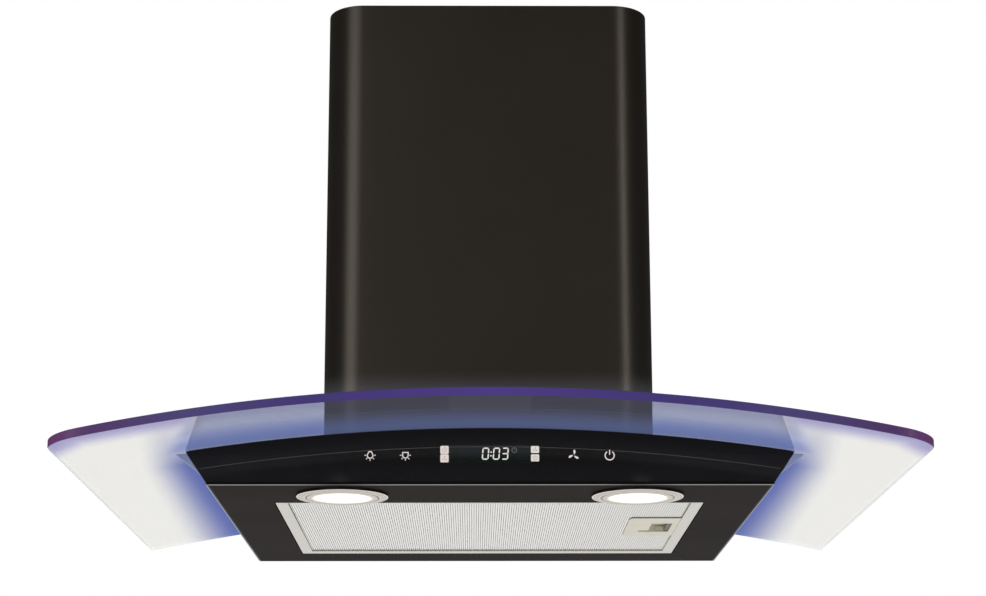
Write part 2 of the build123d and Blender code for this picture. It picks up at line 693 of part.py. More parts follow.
# ---- Blower ----
def scroll_face(inset, top):
    """Side view of the scroll casing: three quarter turns of growing radius, then the outlet."""
    offset = SCROLL_STEP / 2
    centres = ((offset, -offset), (-offset, -offset), (-offset, offset))
    radii = [SCROLL_R - inset + SCROLL_STEP * turn for turn in range(3)]
    edges = []
    points = []
    for (over, up), radius, turn in zip(centres, radii, (90, 0, -90)):
        angles = [math.radians(turn - step) for step in (0, 45, 90)]
        arc = []
        for angle in angles:
            depth = AXIS_DEPTH - over - radius * math.cos(angle)
            arc.append((depth, AXIS_UP + up + radius * math.sin(angle)))
        edges.append(ThreePointArc(*arc))
        points.append(arc)
    start = points[0][0]
    end = points[-1][-1]
    outlet = [(start[0] + inset, top), (end[0], top), end]
    if inset:
        outlet.insert(0, (start[0] + inset, start[1]))
    edges.append(Polyline(start, *outlet))
    return make_face(edges)


def make_scroll():
    """The casing in two halves that meet in the middle, each with its round inlet."""
    half = SCROLL_HALF - SEAT
    top = BOX_TOP - SHEET - SEAT
    shell = across(scroll_face(0, top), SEAT, half)
    shell -= across(scroll_face(SCROLL_WALL, top + LIP), -LIP, half - SCROLL_WALL)
    axis = (AXIS_DEPTH, AXIS_UP)
    shell -= rod(INLET_R, (half - 2 * SCROLL_WALL, *axis), (half + LIP, *axis))
    lip = tube(INLET_R + SCROLL_WALL, INLET_R, (half - SEAT, *axis), (half + SCROLL_WALL, *axis))
    save("scroll_right", shell + lip)
    save("scroll_left", mirror(shell + lip, about=Plane.YZ))


def make_impeller():
    """Double-inlet drum on its hub, with the shaft and the motor's rotor."""
    axis = (AXIS_DEPTH, AXIS_UP)
    drum = rod(IMPELLER_R, (-DISC_T / 2, *axis), (DISC_T / 2, *axis))
    drum += rod(HUB_R, (-HUB_L, *axis), (0, *axis))
    blade_middle = (IMPELLER_R + IMPELLER_INNER_R) / 2
    blade = Pos(blade_middle, 0) * Rot(0, 0, BLADE_LEAN) * Rectangle(
        IMPELLER_R - IMPELLER_INNER_R - BLADE_T, BLADE_T
    )
    blades = Sketch() + [Rot(0, 0, 360 * index / BLADES) * blade for index in range(BLADES)]
    drum += across(Pos(*axis) * blades, -IMPELLER_HALF, IMPELLER_HALF)
    for _, side in SIDES:
        ends = mirrored(side, IMPELLER_HALF - DISC_T, IMPELLER_HALF)
        drum += tube(IMPELLER_R, IMPELLER_INNER_R, (ends[0], *axis), (ends[1], *axis))
    drum -= rod(SHAFT_R, (-HUB_L - LIP, *axis), (DISC_T + LIP, *axis))
    save("impeller", drum)
    motor_end = MOTOR_START + MOTOR_L
    shaft = rod(SHAFT_R, (-HUB_L - LIP, *axis), (motor_end + LIP, *axis))
    save("shaft", shaft)
    middle = MOTOR_START + MOTOR_L / 2
    ends = (middle - STATOR_L / 2, middle + STATOR_L / 2)
    save("rotor", tube(ROTOR_R, SHAFT_R, (ends[0], *axis), (ends[1], *axis)))


def make_motor():
    """Motor inside the right-hand inlet: housing, stator, bearings, bracket and rubber bushes."""
    axis = (AXIS_DEPTH, AXIS_UP)
    start = MOTOR_START
    end = MOTOR_START + MOTOR_L
    housing = rod(MOTOR_R, (start, *axis), (end, *axis))
    housing -= rod(MOTOR_R - MOTOR_SHELL, (start + MOTOR_END, *axis), (end - MOTOR_END, *axis))
    housing -= rod(BEARING_R + SEAT, (start - LIP, *axis), (end + LIP, *axis))
    save("motor_housing", housing)
    middle = (start + end) / 2
    low = (middle - STATOR_L / 2, *axis)
    high = (middle + STATOR_L / 2, *axis)
    save("stator", tube(MOTOR_R - MOTOR_SHELL - SEAT, ROTOR_R + ROTOR_GAP, low, high))
    rings = []
    for near in (start, end - MOTOR_END):
        rings.append(tube(BEARING_R, SHAFT_R + RUN, (near, *axis), (near + MOTOR_END, *axis)))
    save("bearings", *rings)
    bracket_low = SCROLL_HALF + BUSH_H
    faces = (bracket_low + SEAT, bracket_low + SEAT + BRACKET_T)
    bracket = rod(BRACKET_R, (faces[0], *axis), (faces[1], *axis))
    bushes = []
    for index in range(BRACKET_ARMS):
        turn = 2 * math.pi * index / BRACKET_ARMS + math.pi / 2
        arm = Pos(*axis) * Rot(0, 0, math.degrees(turn)) * Pos(BUSH_RING / 2, 0)
        arm *= Rectangle(BUSH_RING + 2 * BUSH_R, BRACKET_ARM_W)
        bracket += across(arm, *faces)
    for index in range(BRACKET_ARMS):
        turn = 2 * math.pi * index / BRACKET_ARMS + math.pi / 2
        centre = (AXIS_DEPTH + BUSH_RING * math.cos(turn), AXIS_UP + BUSH_RING * math.sin(turn))
        bracket -= rod(BUSH_BORE_R, (faces[0] - LIP, *centre), (faces[1] + LIP, *centre))
        bushes.append(tube(BUSH_R, BUSH_BORE_R, (SCROLL_HALF, *centre), (bracket_low, *centre)))
    bracket -= rod(MOTOR_R + SEAT, (faces[0] - LIP, *axis), (faces[1] + LIP, *axis))
    save("motor_bracket", bracket)
    save("motor_bushes", *bushes)


def make_blower_box():
    """Steel box that stands on the body's top, with the outlet hole, gland hole and fixing holes."""

    def filled(inset, low, high):
        x = (-BOX_HALF + inset, BOX_HALF - inset)
        return block(x, (BOX_BACK + inset, BOX_FRONT - inset), (low, high))

    box = filled(0, 0, BOX_TOP) - filled(SHEET, -LIP, BOX_TOP - SHEET)
    box -= under_arch(SEAT - GASKET_T, BODY_W / 2, 0, BODY_D)
    collar = (0, COLLAR_DEPTH)
    inside = BOX_TOP - 2 * SHEET
    box -= rod(COLLAR_R - COLLAR_WALL, (*collar, inside), (*collar, BOX_TOP + LIP))
    gland = (GLAND_X, GLAND_DEPTH)
    box -= rod(GLAND_R + SEAT, (*gland, inside), (*gland, BOX_TOP + LIP))
    for x, height in rivet_places():
        box -= rod(RIVET_R + SEAT, (x, 0, height), (x, BOX_BACK + 2 * SHEET, height))
    save("blower_box", box)
    low = (*gland, BOX_TOP - SHEET - GLAND_H / 2)
    body = rod(GLAND_R, low, (*gland, BOX_TOP + GLAND_H))
    body += rod(GLAND_NUT_R, (*gland, BOX_TOP + SEAT), (*gland, BOX_TOP + GLAND_H / 2))
    body -= rod(GLAND_BORE_R, (*gland, 0), (*gland, BOX_TOP + GLAND_H + LIP))
    save("cable_gland", body)
    wall = BOX_HALF - SHEET - SEAT - CAPACITOR_R
    depth = COLLAR_DEPTH - CAPACITOR_L / 2
    height = AXIS_UP + SCROLL_R / 2
    save("capacitor", rod(CAPACITOR_R, (wall, depth, height), (wall, depth + CAPACITOR_L, height)))


def make_outlet():
    """Round duct collar with a ledge inside, and two flaps on one pin that open upwards."""
    centre = (0, COLLAR_DEPTH)
    low = BOX_TOP + SEAT
    collar = rod(COLLAR_R, (*centre, low), (*centre, low + COLLAR_H))
    collar += rod(COLLAR_FLANGE_R, (*centre, low), (*centre, low + COLLAR_FLANGE_T))
    collar -= rod(COLLAR_R - COLLAR_WALL, (*centre, low - LIP), (*centre, low + COLLAR_H + LIP))
    ledge_top = FLAP_AXIS - FLAP_T / 2 - FREE
    inner = COLLAR_R - COLLAR_WALL
    collar += tube(inner + SEAT, inner - LEDGE_W, (*centre, ledge_top - LEDGE_T), (*centre, ledge_top))
    ends = (COLLAR_DEPTH - COLLAR_R + SEAT, COLLAR_DEPTH + COLLAR_R - SEAT)
    collar -= rod(FLAP_PIN_R, (0, ends[0] - LIP, FLAP_AXIS), (0, ends[1] + LIP, FLAP_AXIS))
    save("outlet_collar", collar)
    save("flap_pin", rod(FLAP_PIN_R, (0, ends[0], FLAP_AXIS), (0, ends[1], FLAP_AXIS)))
    bore = rod(FLAP_PIN_R + RUN, (0, ends[0], FLAP_AXIS), (0, ends[1], FLAP_AXIS))
    spans = (FLAP_AXIS - FLAP_T / 2, FLAP_AXIS + FLAP_T / 2)
    keep = FLAP_BARREL_R + FREE
    for name, side in SIDES:
        flap = rod(FLAP_R, (*centre, spans[0]), (*centre, spans[1]))
        away = mirrored(side, -COLLAR_R, keep)
        flap -= block(away, (COLLAR_DEPTH - COLLAR_R, COLLAR_DEPTH + COLLAR_R), (0, CHIMNEY_TOP))
        for start in barrel_starts(side):
            along = (start + FREE / 2, start + FLAP_BARREL_L - FREE / 2)
            flap += rod(FLAP_BARREL_R, (0, along[0], FLAP_AXIS), (0, along[1], FLAP_AXIS))
            flap += block(mirrored(side, 0, keep + LIP), along, spans)
        save(f"flap_{name}", flap - bore)


def barrel_starts(side):
    """Depths where a flap's two barrels start; the two flaps' barrels take turns along the pin."""
    first = COLLAR_DEPTH - 2 * FLAP_BARREL_L + (0 if side < 0 else FLAP_BARREL_L)
    return (first, first + 2 * FLAP_BARREL_L)


# ---- Chimney ----
def chimney_plan(half, back, front, radius):
    """Plan of a chimney section's outline: square at the back, rounded at the front corners."""
    diagonal = radius * (1 - math.sqrt(0.5))
    edges = [
        Polyline((-half, front - radius), (-half, back), (half, back), (half, front - radius)),
        Line((-half + radius, front), (half - radius, front)),
    ]
    for _, side in SIDES:
        middle = (side * (half - diagonal), front - diagonal)
        edges.append(
            ThreePointArc((side * half, front - radius), middle, (side * (half - radius), front))
        )
    return make_face(edges)


def chimney_section(step, low, high):
    """Folded sheet section, in from the outer one by step, with return flanges at the wall."""
    half = CHIMNEY_HALF - step
    back = GLASS_WALL_GAP + step
    front = CHIMNEY_D - step
    radius = CHIMNEY_CORNER_R - step
    section = upward(chimney_plan(half, back, front, radius), low, high)
    inner = chimney_plan(half - CHIMNEY_T, -LIP, front - CHIMNEY_T, radius - CHIMNEY_T)
    section -= upward(inner, low - LIP, high + LIP)
    for _, side in SIDES:
        flange = mirrored(side, half - CHIMNEY_FLANGE, half)
        section += block(flange, (back, back + CHIMNEY_T), (low, high))
    return section


def make_chimney():
    """Outer section standing on the glass, inner section that slides up, pads, ties and screws."""
    outer = chimney_section(0, 0, CHIMNEY_TOP)
    outer -= under_arch(GLASS_T + FREE, CHIMNEY_HALF + LIP, -LIP, CHIMNEY_D + LIP)
    ties = []
    screws = []
    screw_height = TIE_LOW + TIE_H / 2
    inner_face = CHIMNEY_HALF - CHIMNEY_T - SEAT
    depth = (TIE_DEPTH - TIE_W / 2, TIE_DEPTH + TIE_W / 2)
    height = (TIE_LOW, TIE_LOW + TIE_H)
    box_face = BOX_HALF + SEAT
    outside = CHIMNEY_HALF + SEAT
    for _, side in SIDES:
        tie = block(mirrored(side, box_face, box_face + TIE_T), depth, height)
        tie += block(mirrored(side, inner_face - TIE_T, inner_face), depth, height)
        tie += block(mirrored(side, box_face, inner_face), depth, (TIE_LOW, TIE_LOW + TIE_T))
        for screw_depth in (TIE_DEPTH - TIE_W / 4, TIE_DEPTH + TIE_W / 4):
            axis = (screw_depth, screw_height)
            start = (side * (inner_face - 2 * TIE_T), *axis)
            hole = rod(TIE_SCREW_R + SEAT, start, (side * (CHIMNEY_HALF + LIP), *axis))
            outer -= hole
            tie -= hole
            head = rod(TIE_HEAD_R, (side * outside, *axis), (side * (outside + TIE_HEAD_H), *axis))
            screws.append(head + rod(TIE_SCREW_R, start, (side * outside, *axis)))
        ties.append(tie)
    save("chimney_lower", outer)
    save("chimney_upper", chimney_section(CHIMNEY_STEP, UPPER_LOW, CHIMNEY_TOP - UPPER_DROP))
    save("chimney_ties", *ties)
    save("chimney_screws", *screws)
    top = CHIMNEY_TOP - PAD_DROP
    height = (top - PAD_H, top)
    thick = CHIMNEY_GAP - FREE
    pads = []
    for _, side in SIDES:
        face = CHIMNEY_HALF - CHIMNEY_T - SEAT
        middle = CHIMNEY_D / 2
        x = mirrored(side, face - thick + SEAT, face)
        pads.append(block(x, (middle - PAD_W / 2, middle + PAD_W / 2), height))
        front = CHIMNEY_D - CHIMNEY_T - SEAT
        x = mirrored(side, (CHIMNEY_HALF - PAD_W) / 2, (CHIMNEY_HALF + PAD_W) / 2)
        pads.append(block(x, (front - thick + SEAT, front), height))
    save("slide_pads", *pads)


# ---- Grease filter ----
def hinge_rod(radius, near, far):
    """Rod on the filter's hinge axis."""
    x = HINGE_INSET - FILTER_EDGE
    return rod(radius, (x, near, HINGE_INSET), (x, far, HINGE_INSET))


def mesh_area(into_rails):
    """Spans of the filter's window, grown into the rails."""
    side = FILTER_EDGE - RAIL_SIDE + into_rails
    return (-side, side), (FILTER_REAR + RAIL_REAR - into_rails, FILTER_FRONT - RAIL_FRONT + into_rails)


def make_filter():
    """Channel frame with three layers held in its groove, turning on two pins at its left edge."""
    frame = block((-FILTER_EDGE, FILTER_EDGE), (FILTER_REAR, FILTER_FRONT), (0, FILTER_T))
    corner = frame.edges().filter_by(Axis.Y).group_by(Axis.Z)[0].sort_by(Axis.X)[0]
    frame = fillet(corner, HINGE_INSET - SEAT)
    frame -= block(*mesh_area(0), (-LIP, FILTER_T + LIP))
    frame -= block(*mesh_area(GROOVE), (RAIL_SKIN, FILTER_T - RAIL_SKIN))
    frame -= block((LATCH_RIGHT, FILTER_EDGE + LIP), tongue_span(SEAT + FREE), slide_span(FREE))
    for start, end in ((FILTER_REAR - LIP, FILTER_REAR + HINGE_PIN_DEPTH + FREE),
                       (FILTER_FRONT - HINGE_PIN_DEPTH - FREE, FILTER_FRONT + LIP)):
        frame -= hinge_rod(HINGE_PIN_R + RUN, start, end)
    save("filter_frame", frame)
    reach = FILTER_GAP + SHEET + LIP
    pins = [
        hinge_rod(HINGE_PIN_R, FILTER_REAR - reach, FILTER_REAR + HINGE_PIN_DEPTH),
        hinge_rod(HINGE_PIN_R, FILTER_FRONT - HINGE_PIN_DEPTH, FILTER_FRONT + reach),
    ]
    save("filter_hinge_pins", *pins)
    housing = latch_housing_span(SEAT)
    inside = FILTER_T - RAIL_SKIN
    layers = (
        ("filter_face_mesh", RAIL_SKIN + SEAT, RAIL_SKIN + MESH_T, True),
        ("filter_pad", RAIL_SKIN + MESH_T + SEAT, inside - MESH_T - SEAT, False),
        ("filter_back_mesh", inside - MESH_T, inside - SEAT, True),
    )
    for name, low, high, slotted in layers:
        layer = block(*mesh_area(GROOVE - SEAT), (low, high))
        if slotted:
            layer -= upward(mesh_slots(), low - LIP, high + LIP)
        layer -= block(*housing, (0, FILTER_T))
        save(name, layer)


def mesh_slots():
    """Plan of the staggered slots, clear of the rails and of the latch."""
    x_span, depth_span = mesh_area(0)
    rows = int((depth_span[1] - depth_span[0] - 2 * SLOT_W) // SLOT_PITCH_Y)
    columns = int((x_span[1] - x_span[0] - 2 * SLOT_W) // SLOT_PITCH_X)
    latch_x, latch_depth = latch_housing_span(SLOT_L)
    middle = sum(depth_span) / 2
    slots = Sketch()
    for row in range(rows):
        depth = middle + (row - (rows - 1) / 2) * SLOT_PITCH_Y
        stagger = SLOT_PITCH_X / 4 * (1 if row % 2 else -1)
        for column in range(columns):
            x = (column - (columns - 1) / 2) * SLOT_PITCH_X + stagger
            in_latch = latch_x[0] < x < latch_x[1] and latch_depth[0] < depth < latch_depth[1]
            if not in_latch:
                slots += Pos(x, depth) * SlotOverall(SLOT_L, SLOT_W, rotation=90)
    return slots


# ---- Filter latch ----
def tongue_span(clear):
    """Depth span of the latch's tongue, with room at each end."""
    return (RECESS_CENTRE - TONGUE_W / 2 - clear, RECESS_CENTRE + TONGUE_W / 2 + clear)


def slide_span(clear):
    """Height span of the latch's slide, with room above and below."""
    return (SLIDE_LOW - clear, SLIDE_HIGH + clear)


def latch_housing_span(clear):
    """Spans of the latch's housing above its plate, with room round it."""
    x = (LATCH_LEFT + LATCH_INSET - clear, LATCH_RIGHT + GROOVE)
    return x, (LATCH_REAR + LATCH_BORDER / 2 - clear, LATCH_FRONT - LATCH_BORDER + clear)


def make_latch():
    """Finger plate with its recess and housing, the slide with its tongue, and two springs."""
    x, depth = latch_housing_span(0)
    x = (x[0], LATCH_RIGHT)
    wall = LATCH_WALL
    plate_top = SEAT + LATCH_PLATE_T
    plate = block((LATCH_LEFT, LATCH_RIGHT), (LATCH_REAR, LATCH_FRONT), (SEAT, plate_top - SEAT))
    housing = block(x, depth, (SEAT, LATCH_H))
    inside = (depth[0] + wall, depth[1] - wall)
    housing -= block((x[0] + wall, RECESS_EDGE), inside, (plate_top, LATCH_H + LIP))
    recess_x = (RECESS_EDGE - RECESS_W, RECESS_EDGE)
    recess_depth = (RECESS_CENTRE - RECESS_D / 2, RECESS_CENTRE + RECESS_D / 2)
    cup_depth = (recess_depth[0] - wall, recess_depth[1] + wall)
    cup = block((recess_x[0] - wall, recess_x[1]), cup_depth, (SEAT, LATCH_H))
    body = plate + housing + cup
    body -= block(recess_x, recess_depth, (-LIP, LATCH_H - wall))
    tab_right = RECESS_EDGE - FREE
    tab_left = tab_right - TAB_T
    arm_half = SPRING_OFFSET + SPRING_R + FREE
    slot_x = (tab_left - LATCH_TRAVEL - FREE, RECESS_EDGE)
    arm_depth = (RECESS_CENTRE - arm_half, RECESS_CENTRE + arm_half)
    inner = (RECESS_CENTRE - RECESS_D / 2 - 2 * wall, RECESS_CENTRE + RECESS_D / 2 + 2 * wall)
    body -= block(slot_x, inner, slide_span(FREE))
    body -= block((RECESS_EDGE - LIP, LATCH_RIGHT + LIP), tongue_span(FREE), slide_span(FREE))
    spring_end = tab_left - SPRING_L - 2 * SEAT
    for offset in (-SPRING_OFFSET, SPRING_OFFSET):
        post = (RECESS_CENTRE + offset - 2 * SPRING_R, RECESS_CENTRE + offset + 2 * SPRING_R)
        body += block((spring_end - SPRING_POST_T, spring_end), post, (SEAT, LATCH_H - wall))
    save("latch_plate", body)
    slide = block((tab_left, tab_right), arm_depth, slide_span(0))
    slide += block((tab_right - LIP, FILTER_EDGE + TONGUE_REACH), tongue_span(0), slide_span(0))
    save("latch_slide", slide)
    springs = []
    level = (SLIDE_LOW + SLIDE_HIGH) / 2
    for offset in (-SPRING_OFFSET, SPRING_OFFSET):
        centre = (RECESS_CENTRE + offset, level)
        ends = (tab_left - SEAT - SPRING_L, tab_left - SEAT)
        springs.append(tube(SPRING_R, SPRING_BORE_R, (ends[0], *centre), (ends[1], *centre)))
    save("latch_springs", *springs)
    leaf = Polyline(
        (OPENING_EDGE + SEAT, SEAT),
        (KEEPER_EDGE - SEAT, SEAT),
        (KEEPER_EDGE - SEAT, SHEET + SEAT),
        (KEEPER_EDGE + KEEPER_FOOT, SHEET + SEAT),
        (KEEPER_EDGE + KEEPER_FOOT, SHEET + SEAT + KEEPER_T),
        (KEEPER_EDGE - SEAT - KEEPER_T, SHEET + SEAT + KEEPER_T),
        (KEEPER_EDGE - SEAT - KEEPER_T, SLIDE_LOW - FREE),
        (OPENING_EDGE + SEAT, SLIDE_LOW - FREE),
        close=True,
    )
    save("filter_keeper", forward(make_face(leaf), *tongue_span(KEEPER_GAP - FREE)))


# ---- Leads ----
def make_leads():
    """Cables inside the hood, along the routes that they are clipped to."""
    inside = CONTROL_FRONT - CONTROL_WALL
    near_hole, middle_hole, far_hole = [(x, inside, height) for x, height in control_front_holes()]
    over_can = LAMP_CAN_H + 6
    can_side = LAMP_X + LAMP_NECK_R + SEAT
    connector = BOARD_BACK - CONNECTOR - SEAT
    plug_h = BOARD_HIGH - CONNECTOR
    panel = lead([
        far_hole,
        (far_hole[0], CONTROL_FRONT + 22, far_hole[2]),
        (far_hole[0] - 11, CONTROL_FRONT + 45, far_hole[2] + 7),
        (far_hole[0] - 41, LAMP_DEPTH + 12, over_can - 2),
        (LAMP_X + 8, LAMP_DEPTH + 8, over_can),
        (LAMP_X - 22, LAMP_DEPTH, over_can),
        (CONNECTOR_X, connector - 24, plug_h),
        (CONNECTOR_X, connector, plug_h),
    ])
    save("panel_lead", panel)
    can_h = LEAD_H + 2
    right = lead([
        near_hole,
        (near_hole[0], CONTROL_FRONT + 18, near_hole[2]),
        (near_hole[0] - 9, CONTROL_FRONT + 38, near_hole[2] + 1),
        (can_side + 20, LAMP_DEPTH, can_h),
        (can_side, LAMP_DEPTH, can_h),
    ])
    left = lead([
        middle_hole,
        (middle_hole[0], CONTROL_FRONT + 14, middle_hole[2]),
        (middle_hole[0] - 14, CONTROL_FRONT + 26, middle_hole[2] + 3),
        (LAMP_X + 34, CONTROL_FRONT + 36, over_can - 2),
        (LAMP_X - 10, CONTROL_FRONT + 39, over_can),
        (LAMP_X - 60, CONTROL_FRONT + 41, over_can - 2),
        (0, CONTROL_FRONT + 44, over_can - 8),
        (-LAMP_X + LAMP_NECK_R + 28, LAMP_DEPTH, can_h),
        (-LAMP_X + LAMP_NECK_R + SEAT, LAMP_DEPTH, can_h),
    ])
    save("lamp_leads", left, right)
    motor_end = MOTOR_START + MOTOR_L + SEAT
    motor = lead([
        (motor_end, AXIS_DEPTH, AXIS_UP - 26),
        (motor_end + 20, AXIS_DEPTH, AXIS_UP - 26),
        (motor_end + 34, AXIS_DEPTH + 11, AXIS_UP - 57),
        (motor_end + 38, AXIS_DEPTH + 34, GLASS_RISE - 1),
        (motor_end + 58, MOTOR_HOLE - 22, LEAD_OVER + 4),
        (FILTER_EDGE - 14, MOTOR_HOLE, LEAD_OVER),
        (CONTROL_LEFT + CONTROL_WALL, MOTOR_HOLE, LEAD_OVER),
    ])
    save("motor_lead", motor)
    gland = (GLAND_X, GLAND_DEPTH)
    supply = lead([
        (*gland, BOX_TOP + 6),
        (*gland, BOX_TOP - 44),
        (GLAND_X + 3, GLAND_DEPTH + 5, BOX_TOP - 98),
        (GLAND_X + 5, GLAND_DEPTH + 11, BOX_TOP - 152),
        (GLAND_X + 6, GLAND_DEPTH + 25, GLASS_RISE),
        (GLAND_X + 17, GLAND_DEPTH + 65, LEAD_OVER + 7),
        (FILTER_EDGE - 16, TERMINAL_DEPTH, LEAD_OVER),
        (CONTROL_LEFT - SEAT, TERMINAL_DEPTH, LEAD_OVER),
    ], SUPPLY_R)
    box_end = CONTROL_FRONT - CONTROL_D + CONTROL_WALL
    link = rod(LEAD_R, (CONTROL_X, TERMINAL_FRONT + SEAT, LEAD_H), (CONTROL_X, box_end, LEAD_H))
    save("supply_leads", supply, link)


make_body_shell()
make_underside_panel()
make_wall_plate()
make_glass()
make_fascia()
make_controls()
make_control_box()
make_power_board()
for lamp_name, lamp_side in SIDES:
    make_lamp(lamp_name, lamp_side * LAMP_X)
make_scroll()
make_impeller()
make_motor()
make_blower_box()
make_outlet()
make_chimney()
make_filter()
make_latch()
make_leads()
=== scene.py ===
"""Looks of the curved glass range hood round its CAD frame: metres, Z up, -Y to the viewer."""

import math

import bmesh
import bpy
from mathutils import Matrix, Vector


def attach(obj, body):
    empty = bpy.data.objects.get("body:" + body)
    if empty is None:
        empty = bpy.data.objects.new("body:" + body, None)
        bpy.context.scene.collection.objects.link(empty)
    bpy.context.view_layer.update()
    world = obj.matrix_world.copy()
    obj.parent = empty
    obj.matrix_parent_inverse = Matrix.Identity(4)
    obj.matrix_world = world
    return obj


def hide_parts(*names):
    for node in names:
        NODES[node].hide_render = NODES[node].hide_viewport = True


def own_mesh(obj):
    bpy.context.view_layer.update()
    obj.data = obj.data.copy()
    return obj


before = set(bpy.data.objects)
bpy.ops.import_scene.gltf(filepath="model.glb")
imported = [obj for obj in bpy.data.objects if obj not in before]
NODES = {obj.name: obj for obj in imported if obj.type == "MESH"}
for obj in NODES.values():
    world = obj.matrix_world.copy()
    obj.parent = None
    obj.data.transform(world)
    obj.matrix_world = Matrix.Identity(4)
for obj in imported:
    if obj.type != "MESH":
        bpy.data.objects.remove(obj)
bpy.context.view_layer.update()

# ---- Sizes shared with the CAD source, in millimetres ----
UNDER = -150.0  # frame height of the hood's underside


def at(x, depth, height):
    """Frame point in metres: x, the depth in front of the wall, the height above the underside."""
    return Vector((x, -depth, UNDER + height)) / 1000


GLASS_R = 1410.0  # radius of the arched lower face
GLASS_RISE = 41.4
GLASS_T = 6.0
GLASS_HALF = 300.0
GLASS_D = 500.0
GLASS_BOW = 3.0
GLASS_CORNER = 22.0
GLASS_INNER = GLASS_HALF - GLASS_CORNER  # where the corners begin
GLASS_SIDE_D = GLASS_D - GLASS_BOW
GLASS_BACK = 0.5
GLASS_ARRIS = 0.5
NOTCH_HALF = 116.5
NOTCH_D = 219.55
SCREW_PLACES = [(side * 165.0, depth) for side in (-1, 1) for depth in (60.0, 330.0)]
SCREW_HOLE_R = 5.0
BODY_D = 392.0
BODY_TOP_HALF = 226.0
CHIMNEY_HALF = 133.0
CHIMNEY_D = 239.05
CHIMNEY_CORNER = 30.0
CHIMNEY_TOP = 431.0
CHIMNEY_T = 1.0
CHIMNEY_LIFT = 6.3  # glass's lower face to the chimney's lower edge
CHIMNEY_FLANGE = 12.0
CHIMNEY_STEP = 2.5
UPPER_LOW = 100.0
UPPER_TOP = 427.0
LAMP_X = 108.4
LAMP_DEPTH = 350.0
LAMP_R = 34.3


def arch(x, lift=0.0):
    """Height of the glass's lower face at x, or of the surface that lies lift above it."""
    return GLASS_RISE - GLASS_R + math.sqrt((GLASS_R + lift) ** 2 - x * x)


# ---- Mesh building ----
SMOOTH_UP_TO = 35  # degrees between two faces


def link(thing):
    """Put an object in the scene."""
    bpy.context.scene.collection.objects.link(thing)
    return thing


def as_object(name, shape):
    """Turn a bmesh into an object of the scene."""
    mesh = bpy.data.meshes.new(name)
    shape.to_mesh(mesh)
    shape.free()
    return link(bpy.data.objects.new(name, mesh))


def add_piece(name, shape, body, slot, paints=(), replaces=(), angle=SMOOTH_UP_TO):
    """Turn a bmesh into a piece that rides on a body; faces smooth up to that angle in degrees."""
    bmesh.ops.recalc_face_normals(shape, faces=shape.faces)
    piece = as_object(name, shape)
    piece.data.shade_smooth()
    piece.data.set_sharp_from_angle(angle=math.radians(angle))
    for paint in paints or [slot]:
        piece.data.materials.append(MATERIALS[paint])
    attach(piece, body)
    if replaces:
        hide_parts(*replaces)
    return piece


def soften(piece, width):
    """Round a piece's sharp edges by that many millimetres."""
    merge = piece.modifiers.new("merge", "WELD")
    merge.merge_threshold = 0.00001
    bevel = piece.modifiers.new("edges", "BEVEL")
    bevel.width = width / 1000
    bevel.segments = 2
    bevel.limit_method = "ANGLE"
    bevel.angle_limit = math.radians(SMOOTH_UP_TO)
    bevel.harden_normals = True


def ring_faces(shape, rings, closed=True, material=0):
    """Join each ring to the next. A closed ring meets its own start; a pole is a ring of one."""
    for first, second in zip(rings, rings[1:]):
        count = max(len(first), len(second))
        for index in range(count if closed else count - 1):
            other = (index + 1) % count
            corners = [first[i % len(first)] for i in (index, other)]
            corners += [second[i % len(second)] for i in (other, index)]
            shape.faces.new(list(dict.fromkeys(corners))).material_index = material


def points(shape, places):
    """New vertices at places, each an x, a depth and a height."""
    return [shape.verts.new(at(*place)) for place in places]


def tube(shape, rings, material=0):
    """Solid through rings of vertices, closed at both ends."""
    ring_faces(shape, rings, material=material)
    shape.faces.new(rings[0])
    shape.faces.new(rings[-1])


def lathe(shape, x, depth, profile, segments=96, closed=False):
    """Turn a profile of (radius, height) about an upright axis; a radius of 0 makes a pole."""
    rings = []
    for radius, height in profile:
        circle = arc(x, depth, radius, 0, 360, segments)[:-1] if radius else [(x, depth)]
        rings.append(points(shape, [(*place, height) for place in circle]))
    ring_faces(shape, rings + rings[:1] if closed else rings)


def slab(shape, loops, low, high, where=at, material=0):
    """Solid whose plan is the first loop less the others; where(u, v, level) gives its places."""
    edges, upper = [], {}
    for loop in loops:
        ring = [shape.verts.new(where(u, v, low)) for u, v in loop]
        top = [shape.verts.new(where(u, v, high)) for u, v in loop]
        edges += [shape.edges.new((ring[i - 1], ring[i])) for i in range(len(ring))]
        upper.update(zip(ring, top))
        ring_faces(shape, [ring, top], material=material)
    filled = bmesh.ops.triangle_fill(shape, use_beauty=True, edges=edges)["geom"]
    for face in [item for item in filled if isinstance(item, bmesh.types.BMFace)]:
        face.material_index = material
        top = [upper[vertex] for vertex in reversed(face.verts)]
        shape.faces.new(top).material_index = material


def rounded(left, right, low, high, radius, steps=5):
    """Loop round a rectangle with rounded corners."""
    left, right, low, high = left + radius, right - radius, low + radius, high - radius
    loop = []
    for quarter, centre in enumerate(((right, high), (left, high), (left, low), (right, low))):
        loop += arc(*centre, radius, 90 * quarter, 90 * quarter + 90, steps)
    return loop


def arc(x, y, radius, start, end, steps=12):
    """Points on an arc between two angles in degrees."""
    turns = [math.radians(start + (end - start) * i / steps) for i in range(steps + 1)]
    return [(x + radius * math.cos(t), y + radius * math.sin(t)) for t in turns]


def outward(loop):
    """Miter direction of each point of a closed 2-D loop that turns anticlockwise."""
    result = []
    for index, point in enumerate(loop):
        before = (point - loop[index - 1]).normalized()
        after = (loop[(index + 1) % len(loop)] - point).normalized()
        normals = [Vector((step.y, -step.x)) for step in (before, after)]
        miter = (normals[0] + normals[1]).normalized()
        result.append(miter / max(0.3, miter.dot(normals[1])))
    return result


